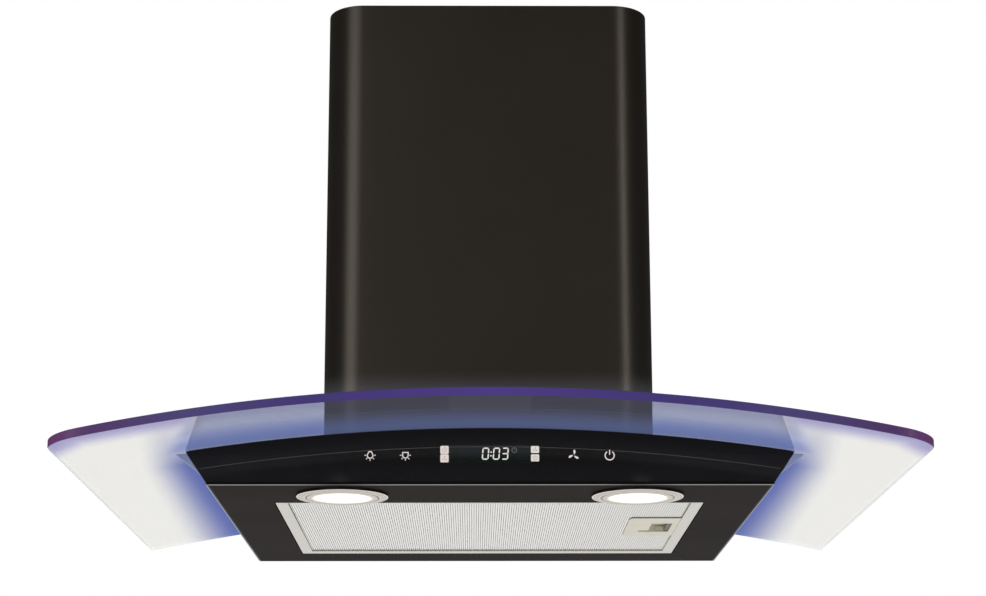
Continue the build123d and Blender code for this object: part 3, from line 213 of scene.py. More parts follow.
def boundary_loop(shape):
    """Vertices round the open edge of a flat patch, in order, and no vertex twice."""
    edges = [edge for edge in shape.edges if edge.is_boundary]
    links = {}
    for edge in edges:
        for vertex in edge.verts:
            links.setdefault(vertex, []).append(edge)
    start = edges[0].verts[0]
    loop, edge = [start], links[start][0]
    while True:
        vertex = edge.other_vert(loop[-1])
        if vertex is start:
            return loop
        loop.append(vertex)
        pair = links[vertex]
        edge = pair[0] if pair[1] is edge else pair[1]


# ---- Glass ----
FRONT_EDGE, OTHER_EDGE, TOP_FACE = 1, 2, 3  # its materials; 0 is the lower face


def glass_front(x):
    """Depth of the glass's front edge at x."""
    over = abs(x) - GLASS_INNER
    if over > 0:
        return GLASS_SIDE_D - GLASS_CORNER + math.sqrt(max(0, GLASS_CORNER**2 - over**2))
    return GLASS_SIDE_D + GLASS_BOW * (1 - (x / GLASS_INNER) ** 2)


def glass_columns():
    """Values of x for the glass's columns: even over the middle, closer round the corners."""
    half = [NOTCH_HALF * i / 14 for i in range(14)]
    half += [NOTCH_HALF + (GLASS_INNER - NOTCH_HALF) * i / 20 for i in range(20)]
    turns = [math.radians(turn) for turn in (0, 15, 30, 43, 55, 66, 77, 90)]
    half += [GLASS_INNER + GLASS_CORNER * math.sin(turn) for turn in turns]
    return [-x for x in reversed(half[1:])] + half


def make_glass():
    """The canopy as one closed arched pane with a polished edge and four screw holes."""
    shape = bmesh.new()
    columns, rows = glass_columns(), 33
    back_rows = [GLASS_BACK + (NOTCH_D - GLASS_BACK) * i / 24 for i in range(24)]
    grid = []
    for x in columns:
        depths = [NOTCH_D + i / (rows - 1) * (glass_front(x) - NOTCH_D) for i in range(rows)]
        if abs(x) > NOTCH_HALF - 0.01:
            depths = back_rows + depths
        grid.append([shape.verts.new((x, depth, 0)) for depth in depths])
    for index, pair in enumerate(zip(grid, grid[1:])):
        if abs(columns[index] + columns[index + 1]) / 2 < NOTCH_HALF:
            pair = [column[-rows:] for column in pair]
        ring_faces(shape, pair, closed=False)
    loop = boundary_loop(shape)
    flat = [Vector((vertex.co.x, vertex.co.y)) for vertex in loop]
    area = sum(a.x * b.y - a.y * b.x for a, b in zip(flat, flat[1:] + flat[:1]))
    if area < 0:
        loop.reverse()
        flat.reverse()
    away = outward(flat)
    top = {vertex: shape.verts.new(vertex.co) for vertex in list(shape.verts)}
    for face in list(shape.faces):
        shape.faces.new([top[vertex] for vertex in reversed(face.verts)]).material_index = TOP_FACE
    rims = [loop]
    rims += [[shape.verts.new(vertex.co) for vertex in loop] for _ in range(2)]
    rims.append([top[vertex] for vertex in loop])
    for vertex, upper in top.items():
        vertex.co.z = arch(vertex.co.x)
        upper.co.z = arch(vertex.co.x, GLASS_T)
    for point, direction, (low, second, third, high) in zip(flat, away, zip(*rims)):
        inset = point - direction * GLASS_ARRIS
        for vertex, place, lift in (
            (low, inset, 0.0), (second, point, GLASS_ARRIS),
            (third, point, GLASS_T - GLASS_ARRIS), (high, inset, GLASS_T),
        ):
            vertex.co = (place.x, place.y, arch(place.x, lift))
    for index in range(len(loop)):
        other = (index + 1) % len(loop)
        front = (away[index] + away[other]).y > 0.6
        for first, second in zip(rims, rims[1:]):
            corners = (first[index], first[other], second[other], second[index])
            shape.faces.new(corners).material_index = FRONT_EDGE if front else OTHER_EDGE
    for vertex in shape.verts:
        vertex.co = at(*vertex.co)
    paints = ["tinted_glass", "glass_edge", "glass_rim", "glass_top"]
    pane = add_piece("glass_pane", shape, "hood", "tinted_glass", paints, ["glass_canopy"])
    drill = bmesh.new()
    for x, depth in SCREW_PLACES:
        ends = [(0, -5.0), (SCREW_HOLE_R, -5.0), (SCREW_HOLE_R, 15.0), (0, 15.0)]
        lathe(drill, x, depth, [(r, arch(x) + h) for r, h in ends], 40)
    for face in drill.faces:
        face.material_index = OTHER_EDGE
    bmesh.ops.recalc_face_normals(drill, faces=drill.faces)
    cut_with(pane, drill)


def cut_with(piece, cutter):
    """Take a closed bmesh out of a piece."""
    tool = as_object("cutter", cutter)
    change = piece.modifiers.new("cut", "BOOLEAN")
    change.operation = "DIFFERENCE"
    change.solver = "EXACT"
    change.object = tool
    bpy.context.view_layer.update()
    whole = bpy.context.evaluated_depsgraph_get()
    result = bpy.data.meshes.new_from_object(piece.evaluated_get(whole))
    piece.modifiers.clear()
    piece.data = result
    result.set_sharp_from_angle(angle=math.radians(SMOOTH_UP_TO))
    bpy.data.meshes.remove(tool.data)  # and the tool with it


# ---- Chimney ----
def chimney_path(step, inner):
    """Plan of one face of a chimney section, from its left flange's tip round to the right one."""
    half, back, front = CHIMNEY_HALF - step, GLASS_BACK + step, CHIMNEY_D - step
    centre = half - CHIMNEY_CORNER + step, front - CHIMNEY_CORNER + step
    thick = CHIMNEY_T if inner else 0.0
    radius = CHIMNEY_CORNER - step - thick
    left = [(-half + CHIMNEY_FLANGE, back + thick), (-half + thick, back + thick)]
    rise = (centre[1] - back - thick) / 8
    left += [(-half + thick, back + thick + rise * i) for i in range(1, 8)]
    left += arc(-centre[0], centre[1], radius, 180, 90, 16)
    left += [(-centre[0] + 2 * centre[0] * i / 28, front - thick) for i in range(1, 15)]
    return left + [(-x, depth) for x, depth in reversed(left[:-1])]


def make_chimney_section(name, node, body, sheet, step, low, high):
    """Folded sheet with rounded front corners and return flanges; low gives its lower edge at x."""
    shape = bmesh.new()
    outer, inner = chimney_path(step, False), chimney_path(step, True)
    levels = []
    for level in (low, lambda x: high):
        faces = [points(shape, [(x, d, level(x)) for x, d in path]) for path in (outer, inner)]
        ring_faces(shape, faces, closed=False)
        levels.append(faces[0] + faces[1][::-1])
    ring_faces(shape, levels)
    piece = add_piece(name, shape, body, "black_sheet", [sheet], [node])
    soften(piece, 0.25)


def make_chimney():
    """Outer section standing over the glass, and the inner one that slides up out of it."""
    make_chimney_section(
        "chimney_cover", "chimney_lower", "hood", "cover_sheet",
        0.0, lambda x: arch(x, CHIMNEY_LIFT), CHIMNEY_TOP,
    )
    make_chimney_section(
        "chimney_sleeve", "chimney_upper", "upper_chimney", "black_sheet",
        CHIMNEY_STEP, lambda x: UPPER_LOW, UPPER_TOP,
    )


# ---- Lamps ----
def bezel_profile():
    """Turned section of a lamp's bezel: lip, plain ring, groove, ridged ring, groove and roll."""
    profile = [(20.8, 0.85), (20.8, -2.8), (20.95, -2.95), (21.3, -3.0), (22.5, -3.0)]
    profile += [(22.9, -2.95), (24.5, -2.85), (26.2, -2.75), (26.4, -2.2), (27.1, -2.2)]
    profile.append((27.3, -2.75))
    ridges = 2
    for i in range(ridges * 8 + 1):
        share = i / (ridges * 8)
        wave = 0.08 * math.cos(math.tau * ridges * share)
        profile.append((27.5 + 4.0 * share, -2.75 + 0.5 * share**1.3 - wave))
    profile += [(31.8, -2.1), (32.05, -2.08), (32.3, -2.28), (32.7, -2.35), (33.2, -2.3)]
    profile += [(33.55, -2.15), (33.7, -1.95), (33.5, -1.75), (33.0, -1.65), (33.0, -0.05)]
    return profile + [(29.5, -0.05), (29.5, 8.0), (24.0, 8.0), (24.0, 0.85)]


def make_lamps():
    """Both lamps' bezels and their domed, lit lenses."""
    for side, name in ((-1, "left"), (1, "right")):
        shape = bmesh.new()
        lathe(shape, side * LAMP_X, LAMP_DEPTH, bezel_profile(), 120, closed=True)
        node = f"lamp_bezel_{name}"
        add_piece(f"bezel_{name}", shape, "hood", "lamp_chrome", ["bezel_metal"], [node], 50)
        shape = bmesh.new()
        dome = [(20.7 * i / 8, -2.95 + 0.35 * (i / 8) ** 2) for i in range(9)]
        dome += [(20.7, 0.9), (23.9, 0.9), (23.9, 2.45), (0, 2.45)]
        lathe(shape, side * LAMP_X, LAMP_DEPTH, dome)
        add_piece(f"lens_{name}", shape, "hood", "lamp_lens", replaces=[f"lamp_lens_{name}"])


# ---- Symbols on the fascia ----
SYMBOL_H = 21.3
SYMBOL_PROUD = 0.05
DIGIT_LOW, DIGIT_HIGH = 18.0, 26.9
DIGIT_W = 5.0
DIGIT_SLANT = 0.7
SEGMENT_W = 0.95
SEGMENT_GAP = 0.14
# Ends of a digit's segments, each a column and a row of its cell.
A, B, C, D = ((0, 2), (1, 2)), ((1, 1), (1, 2)), ((1, 0), (1, 1)), ((0, 0), (1, 0))
E, F, G = ((0, 0), (0, 1)), ((0, 1), (0, 2)), ((0, 1), (1, 1))
SEGMENTS = {0: (A, B, C, D, E, F), 3: (A, B, C, D, G)}
SEAM_TOP = 27.5  # fine line across the fascia: its height at the middle
SEAM_CURVE = 0.00037


def on_fascia(x, height, level):
    """Place on the fascia's face, or that far in front of it."""
    return at(x, BODY_D + level, height)


def ribbon(places, width, closed=False):
    """Loops round a line of that width: one for an open line, two for a closed one."""
    line = [Vector(place) for place in places]
    count = len(line)
    sides = []
    for index, point in enumerate(line):
        before = line[index] - line[index - 1] if closed or index else None
        after = line[(index + 1) % count] - line[index] if closed or index < count - 1 else None
        steps = [step.normalized() for step in (before, after) if step is not None]
        normals = [Vector((step.y, -step.x)) for step in steps]
        miter = sum(normals, Vector((0, 0))).normalized()
        sides.append(miter / max(0.4, miter.dot(normals[0])) * width / 2)
    first = [point + side for point, side in zip(line, sides)]
    second = [point - side for point, side in zip(line, sides)]
    return [first, second] if closed else [first + second[::-1]]


def rays(inner, outer):
    """Five short rays round the lower half of a lamp symbol."""
    result = []
    for turn in (0, -45, -90, -135, -180):
        along = Vector((math.cos(math.radians(turn)), math.sin(math.radians(turn))))
        result.append([along * inner, along * outer])
    return result


def lamp_symbol(square):
    """A round bulb or a square lamp: its closed outline, and open lines such as rays."""
    if square:
        outline = [(-2.0, 2.05), (2.0, 2.05)] + arc(0, -0.1, 1.95, 8, -188, 14)
        return outline, rays(2.75, 3.95)
    outline = [(-0.8, 2.6), (0.8, 2.6)] + arc(0, -0.1, 2.05, 22, -202, 14)
    return outline, rays(2.9, 4.0) + [[(-0.95, 2.75), (0.95, 2.75)]]


def fan_symbol(radius):
    """Three blades."""
    blade = [(0.1, -0.05), (0.34, -0.2), (0.7, -0.26), (0.95, -0.12)]
    blade += [(1.0, 0.04), (0.86, 0.15), (0.5, 0.12)]
    blades = []
    for turn in (85, 205, 325):
        spin = Matrix.Rotation(math.radians(turn), 2)
        blades.append([spin @ (Vector(point) * radius) for point in blade])
    return blades


def segment_bars(digit):
    """Bars of a seven-segment digit, in a cell that starts at 0."""
    high, t, gap = DIGIT_HIGH - DIGIT_LOW, SEGMENT_W / 2, SEGMENT_GAP
    columns, rows = (t, DIGIT_W - t), (t, high / 2, high - t)
    loops = []
    for ends in SEGMENTS[digit]:
        start, end = (Vector((columns[i], rows[j])) for i, j in ends)
        along = (end - start).normalized()
        across = Vector((-along.y, along.x)) * t
        start, end = start + along * gap, end - along * gap
        loop = [start, start + along * t + across, end - along * t + across]
        loop += [end, end - along * t - across, start + along * t - across]
        loops.append([(p.x + DIGIT_SLANT * p.y / high, p.y) for p in loop])
    return loops


def make_symbols():
    """Touch symbols, the window's digits, status tiles and the fine line, thin on the fascia."""
    shape = bmesh.new()

    def draw(loops, x=0.0, height=0.0, proud=SYMBOL_PROUD):
        places = [[(x + u, height + v) for u, v in loop] for loop in loops]
        slab(shape, places, 0.0, proud, on_fascia)

    def finish(name, slot, paint):
        nonlocal shape
        add_piece(name, shape, "hood", slot, [paint]).visible_glossy = False
        shape = bmesh.new()

    for x, square in ((-86.3, False), (-61.0, True)):
        outline, lines = lamp_symbol(square)
        draw(ribbon(outline, 0.72, closed=True), x, SYMBOL_H)
        for line in lines:
            draw(ribbon(line, 0.62), x, SYMBOL_H)
    for blade in fan_symbol(4.1):
        draw([blade], 59.8, SYMBOL_H)
    draw(ribbon(arc(0, -0.2, 3.25, 125, 415, 28), 0.8), 85.5, SYMBOL_H)
    draw(ribbon([(0, 0.3), (0, 3.9)], 0.75), 85.5, SYMBOL_H)
    finish("touch_symbols", "fascia_gloss", "symbol_white")

    for x, digit in ((-6.4, 0), (1.4, 0), (7.6, 3)):
        for loop in segment_bars(digit):
            draw([loop], x, DIGIT_LOW)
    for height in (20.9, 23.6):
        draw([rounded(-0.5, 0.5, -0.5, 0.5, 0.2)], 0.35 + 0.08 * (height - 22), height)
    finish("window_digits", "display_tint", "digit_white")

    for low in (16.1, 22.25):
        draw([rounded(-36.0, -30.0, low, low + 5.9, 0.9)])
    finish("status_tiles_left", "fascia_gloss", "tile_rose")
    for low in (16.8, 22.9):
        draw([rounded(29.0, 34.9, low, low + 5.1, 0.7)])
    finish("status_tiles_right", "fascia_gloss", "tile_white")

    for x, height in ((-33.0, 19.05), (31.95, 25.4)):
        for blade in fan_symbol(1.8):
            draw([blade], x, height, 2 * SYMBOL_PROUD)
    for x, height in ((-33.0, 25.2), (31.95, 19.3)):
        draw(ribbon(arc(0, 0, 1.5, 0, 342, 19), 0.3, closed=True), x, height, 2 * SYMBOL_PROUD)
        draw(ribbon([(0, 1.0), (0, 0), (0.7, 0)], 0.3), x, height, 2 * SYMBOL_PROUD)
    finish("tile_symbols", "fascia_gloss", "tile_ink")
    draw(ribbon(arc(0, 0, 1.75, 0, 342, 19), 0.7, closed=True), 17.1, 25.0)
    draw(ribbon([(0, 1.1), (0, 0), (0.9, 0)], 0.4), 17.1, 25.0)
    finish("clock_symbol", "display_tint", "clock_grey")
    seam = [(x, SEAM_TOP - x * x * SEAM_CURVE) for x in range(-208, 209, 4)]
    slab(shape, ribbon(seam, 0.55), -0.5, 0.03, on_fascia)
    add_piece("fascia_seam", shape, "hood", "fascia_gloss", ["seam_line"])


# ---- Grease filter and its latch ----
FILTER_HALF = 160.75
FILTER_T = 9.0
FILTER_DEPTHS = (48.5, 313.5)
WINDOW_HALF = FILTER_HALF - 9.0  # inside the rails
WINDOW_DEPTHS = (FILTER_DEPTHS[0] + 12.0, FILTER_DEPTHS[1] - 1.6)
STRAND_PITCH = 1.8
STRAND_W = 1.37
STRAND_STEP = 3.4  # depth between a strand's bends
STRAND_SWAY = 0.08
MESH_LOW, MESH_HIGH = 1.08, 1.5
PLATE_X = (111.2, 151.7)
PLATE_DEPTH = (147.5, 237.0)
PLATE_SPAN = (0.4, 1.0)  # heights of its faces
CUP_WALL = 1.2
HOUSING_X = 116.2
HOUSING_DEPTH = (157.95, 233.0)
RECESS_X = (130.4, 146.9)
RECESS_DEPTH = (166.5, 211.0)
CUP_ROOF = 6.2
HOOK_ROOF = 3.3
SLIDE_SPAN = (1.3, 5.3)  # heights of the slot that the slide moves in
SLOT_X = 137.2
SLIDE_X = 143.7
TONGUE_X = 150.0
TONGUE_DEPTH = (184.1, 199.9)
PIN_INSET, PIN_BORE_R, PIN_DEPTH = 3.0, 1.56, 6.3  # bores for the hinge pins
SPRING_X = (126.65, 143.65)
SPRING_DEPTHS = (163.0, 221.0)
SPRING_HEIGHT = 3.3
SPRING_TURNS = 9
SPRING_R = 1.35  # to the middle of the wire
WIRE_R = 0.3
LATCH_TOP = 7.4
NET_SIDE = 1  # the net's second material
PLATE_SHADE, PLATE_CUP = 1, 2  # the finger plate's second and third


def strand(shape, x, phase, start, end):
    """One zigzag strand of expanded metal; its neighbours meet it at every other bend."""
    rings = []
    first, last = math.ceil(start / STRAND_STEP), math.floor(end / STRAND_STEP)
    for index in range(first, last + 1):
        way = 1 if (index + phase) % 2 else -1
        middle = x + way * STRAND_SWAY
        lean = 0.035 * way
        left, right = middle - STRAND_W / 2, middle + STRAND_W / 2
        depth = index * STRAND_STEP
        corners = (
            (left, MESH_LOW + 0.1 + lean), (right, MESH_LOW + 0.1 - lean),
            (right, MESH_HIGH - 0.1 - lean), (left, MESH_HIGH - 0.1 + lean),
        )
        rings.append(points(shape, [(u, depth, h) for u, h in corners]))
    before = len(shape.faces)
    tube(shape, rings, NET_SIDE)
    shape.faces.ensure_lookup_table()
    for index in range(before, len(shape.faces), 4):
        shape.faces[index].material_index = 0


def make_filter_mesh():
    """Expanded metal face of the grease filter."""
    shape = bmesh.new()
    rear, front = WINDOW_DEPTHS
    start, end = rear - 2.0, front + 2.5
    count = int((WINDOW_HALF + 2.0) // STRAND_PITCH)
    for index in range(-count, count + 1):
        x = index * STRAND_PITCH
        if x < HOUSING_X - 1.0:
            strand(shape, x, index, start, end)
        else:
            strand(shape, x, index, start, HOUSING_DEPTH[0] - 0.3)
            strand(shape, x, index, HOUSING_DEPTH[1] + 0.3, end)
    paints = ["filter_net", "net_side"]
    add_piece("filter_net", shape, "filter", "filter_metal", paints, ["filter_face_mesh"])
    # A dark strip under the net's edge: the frame's seam, coloured with the painted shade of the
    # joint.
    shape = bmesh.new()
    side = WINDOW_HALF
    outer = rounded(-side, side, rear, front, 0.4)
    inner = rounded(-side + 0.5, side - 0.5, rear + 1.6, front - 0.2, 0.3)
    slab(shape, [outer, inner], 0.8, MESH_LOW + 0.1)
    add_piece("net_seam_shade", shape, "filter", "filter_metal", ["seam_shade"])


def make_filter_rails():
    """Folded frame round the filter, bored for its hinge pins and slotted for the latch."""
    shape = bmesh.new()
    half, (rear, front) = FILTER_HALF, FILTER_DEPTHS
    outer = rounded(-half, half, rear, front, 1.6)
    window = rounded(-WINDOW_HALF, WINDOW_HALF, *WINDOW_DEPTHS, 0.8)
    slab(shape, [outer, window], 0.0, FILTER_T)
    piece = add_piece("filter_rails", shape, "filter", "filter_metal", replaces=["filter_frame"])
    cutter = bmesh.new()
    (start, end), (low, high) = TONGUE_DEPTH, SLIDE_SPAN
    corners = ((start, low), (end, low), (end, high), (start, high))
    tube(cutter, [points(cutter, [(x, *c) for c in corners]) for x in (TONGUE_X, half + 2)])
    circle = arc(PIN_INSET - half, PIN_INSET, PIN_BORE_R, 0, 360, 24)[:-1]
    for ends in ((rear - 2, rear + PIN_DEPTH), (front - PIN_DEPTH, front + 2)):
        tube(cutter, [points(cutter, [(x, depth, h) for x, h in circle]) for depth in ends])
    bmesh.ops.recalc_face_normals(cutter, faces=cutter.faces)
    cut_with(piece, cutter)
    soften(piece, 0.35)


def make_latch():
    """Finger plate with a cut corner, its recess, the cup behind it and the housing's walls."""
    shape = bmesh.new()
    low, high = PLATE_SPAN
    left, right = PLATE_X
    rear, front = PLATE_DEPTH
    outline = [(right, rear), (right, front), (left + 2.2, front), (left + 0.8, front - 2.5)]
    outline += [(left, front - 8.0), (left, rear + 1.5), (left + 0.6, rear)]
    (near, far), (back, ahead) = RECESS_X, RECESS_DEPTH
    wall_x, wall_back, wall_ahead = near - CUP_WALL, back - CUP_WALL, ahead + CUP_WALL
    hook = [(near, back + 9.5), (near - 7.2, back + 8.6)]
    hook += [(near - 8, back + 6.5), (near - 8, back + 1)]
    cut = [(far, ahead), (near, ahead), *hook, (near - 7, back), (far, back)]
    slab(shape, [outline, cut], low, high)

    # The cup's faces take a darker copy of the plate's plastic: painted shade in the recess.
    def cup(loops, low, high):
        slab(shape, loops, low, high, material=PLATE_CUP)

    end = far + 0.3
    corner = [(near - 9.2, back + 10.2), (near - 9.2, wall_back)]
    rim = [(end, wall_ahead), (wall_x, wall_ahead), (wall_x, back + 10.8)]
    rim += corner + [(end, wall_back)]
    cup([rim, cut], high - 0.1, SLIDE_SPAN[0])
    side = [(SLOT_X, wall_back), (SLOT_X, back), (near - 7, back), *hook[::-1]]
    side += [(near, ahead), (SLOT_X, ahead), (SLOT_X, wall_ahead), *rim[1:5]]
    cup([side], SLIDE_SPAN[0], HOOK_ROOF)
    cover = [(near - 0.1, back + 10.8), *corner, (near - 0.1, wall_back)]
    cup([cover], HOOK_ROOF, HOOK_ROOF + 0.6)
    side = [(SLOT_X, wall_back), (SLOT_X, back), (near, back), (near, ahead), (SLOT_X, ahead)]
    side += [(SLOT_X, wall_ahead), (wall_x, wall_ahead), (wall_x, wall_back)]
    cup([side], HOOK_ROOF, SLIDE_SPAN[1])
    outer = rounded(wall_x, end, wall_back, wall_ahead, 1.5)
    cup([outer, rounded(*RECESS_X, *RECESS_DEPTH, 1.2)], SLIDE_SPAN[1], CUP_ROOF)
    cup([outer], CUP_ROOF, LATCH_TOP)
    (start, end), inner = HOUSING_DEPTH, HOUSING_X + CUP_WALL
    housing = [(right, start), (right, start + CUP_WALL), (inner, start + CUP_WALL)]
    housing += [(inner, end - CUP_WALL), (right, end - CUP_WALL), (right, end)]
    slab(shape, [housing + [(HOUSING_X, end), (HOUSING_X, start)]], high - 0.1, LATCH_TOP)
    # Faces along the plate's front edge take the painted shade of a shadow gap.
    shape.normal_update()
    for face in shape.faces:
        middle = face.calc_center_median() * 1000
        if middle.y < -front + 9.0 and middle.z < UNDER + high and abs(face.normal.z) < 0.5:
            face.material_index = PLATE_SHADE
    paints = ["latch_plastic", "seam_shade", "cup_plastic"]
    piece = add_piece("finger_plate", shape, "filter", "latch_plastic", paints, ["latch_plate"])
    soften(piece, 0.2)


def make_slide_tab():
    """The slide's finger tab, which covers the slot in the recess's rear wall."""
    left, right = SLOT_X - 0.2, SLIDE_X
    low, high = RECESS_DEPTH[0] + 0.1, RECESS_DEPTH[0] + 1.1
    shape = bmesh.new()
    tab = [(left, low), (left, high), (right, high), (right, low)]
    slab(shape, [tab], SLIDE_SPAN[0] + 0.2, SLIDE_SPAN[1] - 0.1)
    # The tab takes the cup's darker plastic, a painted shade.
    soften(add_piece("slide_tab", shape, "latch", "latch_plastic", ["cup_plastic"]), 0.15)


def make_springs():
    """The latch's two coil springs, built at rest; in use they shorten as the slide is pulled."""
    shape = bmesh.new()
    start, end = SPRING_X[0] + WIRE_R, SPRING_X[1] - WIRE_R
    for depth in SPRING_DEPTHS:
        rings = []
        for index in range(SPRING_TURNS * 20 + 1):
            turns = index / 20
            along = min(1, max(0, (turns - 1) / (SPRING_TURNS - 2)))
            x = start + WIRE_R * min(1, turns) + (end - start - 2 * WIRE_R) * along
            x += WIRE_R * max(0, turns - SPRING_TURNS + 1)
            ahead, up = math.cos(math.tau * turns), math.sin(math.tau * turns)
            rings.append(points(shape, [
                (u, depth + v * ahead, SPRING_HEIGHT + v * up)
                for u, v in arc(x, SPRING_R, WIRE_R, 90, -270, 8)[:-1]
            ]))
        tube(shape, rings)
    piece = add_piece("latch_coils", shape, "filter", "bright_steel", replaces=["latch_springs"])
    fixed_end = tuple(at(SPRING_X[0], sum(SPRING_DEPTHS) / 2, SPRING_HEIGHT))
    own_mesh(piece)


# ---- Seal, wings and hems at the body's edges ----
SEAL_HALF = 216.5
SEAL_TOP, SEAL_LOW = 0.02, 0.75  # its faces' drop below the glass
WING = ((217.7, 22.6), (225.4, 22.1), (221.2, 18.6), (214.6, 13.4), (208.0, 8.0))
HEM = ((202.56, -0.05), (203.4, 0.15), (203.95, 0.55), (204.1, 1.05), (203.5, 1.4))


def make_edge_lines():
    """Seal over the fascia, bluish wings at its upper corners that carry a painted glow, and hems
    along the body's lower sides, their steel tinted with a painted blue reflection.
    """
    seal = bmesh.new()
    columns = [SEAL_HALF * i / 40 for i in range(-40, 41)]
    loop = [(x, arch(x) - SEAL_TOP) for x in columns]
    loop += [(x, arch(x) - SEAL_LOW) for x in reversed(columns)]
    slab(seal, [loop], -2.8, -0.1, on_fascia)
    add_piece("fascia_seal", seal, "hood", "soft_rubber")
    for side, name in ((-1, "left"), (1, "right")):
        def place(u, v, level):
            return at(side * u, level, v)

        shape = bmesh.new()
        slab(shape, [WING], 387.0, 391.6, place)
        piece = add_piece(f"light_wing_{name}", shape, "hood", "tinted_glass", ["light_wing"])
        soften(piece, 0.3)
        piece.visible_glossy = False
        shape = bmesh.new()
        slab(shape, [HEM], 0.6, 391.8, place)
        add_piece(f"hem_{name}", shape, "hood", "trim_steel", ["hem_steel"])


# ---- Material nodes ----
def operator(operation):
    """Method that joins a value to another with a node."""
    return lambda value, other: value.tree.math(operation, value, other)


class Value:
    """A node's output; arithmetic on it adds nodes."""

    def __init__(self, tree, socket):
        self.tree, self.socket = tree, socket

    __add__, __sub__ = operator("ADD"), operator("SUBTRACT")
    __mul__, __truediv__ = operator("MULTIPLY"), operator("DIVIDE")
    __pow__ = operator("POWER")

    def __rsub__(self, other):
        return self.tree.math("SUBTRACT", other, self)

    def __abs__(self):
        return self.tree.math("ABSOLUTE", self)


class Tree:
    """The nodes of a material or a world, with short ways to add to them."""

    def __init__(self, owner):
        owner.use_nodes = True
        self.nodes, self.links = owner.node_tree.nodes, owner.node_tree.links

    def set(self, node, socket, value):
        """Give an input a number, a colour or another node's output."""
        target = node.inputs[socket]
        value = value.socket if isinstance(value, Value) else value
        if isinstance(value, bpy.types.NodeSocket):
            self.links.new(value, target)
        elif target.type == "RGBA" and len(value) == 3:
            target.default_value = (*value, 1)
        else:
            target.default_value = value

    def add(self, kind, inputs=None, **settings):
        """Add a node; settings are its own properties and inputs its sockets."""
        node = self.nodes.new("ShaderNode" + kind)
        for name, value in settings.items():
            setattr(node, name, value)
        for socket, value in (inputs or {}).items():
            self.set(node, socket, value)
        return node

    def value(self, kind, output, inputs=None, **settings):
        """Add a node and return one of its outputs."""
        return Value(self, self.add(kind, inputs, **settings).outputs[output])

    def math(self, operation, *values):
        return self.value("Math", 0, dict(enumerate(values)), operation=operation)

    def axes(self, source="Object"):
        """X, Y and Z of a place, in metres, or of another output of the coordinates node."""
        parts = self.add("SeparateXYZ", {0: self.value("TexCoord", source)})
        return [Value(self, output) for output in parts.outputs]

    def spread(self, value, low, high, start=0.3, end=0.7, curve="LINEAR"):
        """A value between start and end turned into one between low and high."""
        inputs = {"Value": value, "From Min": start, "From Max": end, "To Min": low, "To Max": high}
        return self.value("MapRange", "Result", inputs, interpolation_type=curve)

    def smooth(self, value, start, end, low=0.0, high=1.0):
        """low at start, high at end, and an even curve between."""
        return self.spread(value, low, high, start, end, "SMOOTHSTEP")

    def mix(self, factor, first, second):
        """Number between two others."""
        return self.value("Mix", 0, {0: factor, 2: first, 3: second})

    def mix_shaders(self, factor, first, second):
        return self.value("MixShader", 0, {0: factor, 1: first, 2: second})


class Paint(Tree):
    """A material with one Principled shader."""

    def __init__(self, name, **sockets):
        self.material = bpy.data.materials.new(name)
        super().__init__(self.material)
        self.shader = self.nodes["Principled BSDF"]
        self.look(**sockets)

    def look(self, **sockets):
        """Set the shader's sockets; _ stands for the space in a socket's name."""
        for socket, value in sockets.items():
            self.set(self.shader, socket.replace("_", " "), value)

    def glow(self, colour, strength):
        self.look(Emission_Color=colour, Emission_Strength=strength)

    def show(self, factor, first, second):
        """Let the surface be a mix of two shaders."""
        self.set(self.nodes["Material Output"], "Surface", self.mix_shaders(factor, first, second))

    def place(self, scale=(1, 1, 1)):
        """Object coordinates, stretched by scale."""
        where = self.value("TexCoord", "Object")
        return self.value("Mapping", "Vector", {"Vector": where, "Scale": scale})

    def noise(self, size, stretch=(1, 1, 1), detail=3.0):
        """Noise with grains of that size in millimetres."""
        inputs = {"Vector": self.place(stretch), "Scale": 1000 / size, "Detail": detail}
        return self.value("TexNoise", "Fac", inputs)

    def ramp(self, value, stops):
        """Colour that runs through the stops, each a position and a colour."""
        node = self.add("ValToRGB", {"Fac": value})
        marks = node.color_ramp.elements
        while len(marks) < len(stops):
            marks.new(0.5)
        for mark, (position, colour) in zip(marks, stops):
            mark.position = position
            mark.color = (*colour, 1)
        return Value(self, node.outputs["Color"])

    def blend(self, factor, first, second):
        """Colour between two others."""
        return self.value("Mix", 2, {0: factor, 6: first, 7: second}, data_type="RGBA")

    def mottle(self, noise, dark, light):
        """Colour that changes with a noise."""
        return self.blend(self.spread(noise, 0, 1), dark, light)

    def bump(self, height, distance):
        """Bump of that depth in millimetres."""
        inputs = {"Height": height, "Distance": distance / 1000}
        self.look(Normal=self.value("Bump", "Normal", inputs))


def scaled(colour, share):
    """Colour made lighter or darker."""
    return tuple(min(1, part * share) for part in colour)


def enamel(name, colour, rough, specular, tint=(1, 1, 1)):
    """Satin enamel on sheet steel: faint orange peel and slow changes of gloss."""
    paint = Paint(name, Specular_IOR_Level=specular, Specular_Tint=tint)
    slow, fine = paint.noise(70, detail=2), paint.noise(0.9, detail=4)
    tone = paint.mottle(slow, scaled(colour, 0.88), scaled(colour, 1.12))
    paint.look(Base_Color=tone, Roughness=paint.spread(fine, rough - 0.04, rough + 0.04))
    paint.bump(fine, 0.012)
    return paint


def sheet_metal(name, colour, rough, spangle=6.0, contrast=0.12):
    """Bare or zinc-coated sheet steel with crystals of that size."""
    paint = Paint(name, Metallic=1.0)
    cells = paint.value("TexVoronoi", "Color", {"Vector": paint.place(), "Scale": 1000 / spangle})
    tone = paint.value("SeparateColor", 0, {"Color": cells})
    dark, light = scaled(colour, 1 - contrast), scaled(colour, 1 + contrast)
    gloss = paint.spread(tone, rough - 0.06, rough + 0.08, 0, 1)
    paint.look(Base_Color=paint.blend(tone, dark, light), Roughness=gloss)
    paint.bump(paint.noise(0.8), 0.01)
    return paint


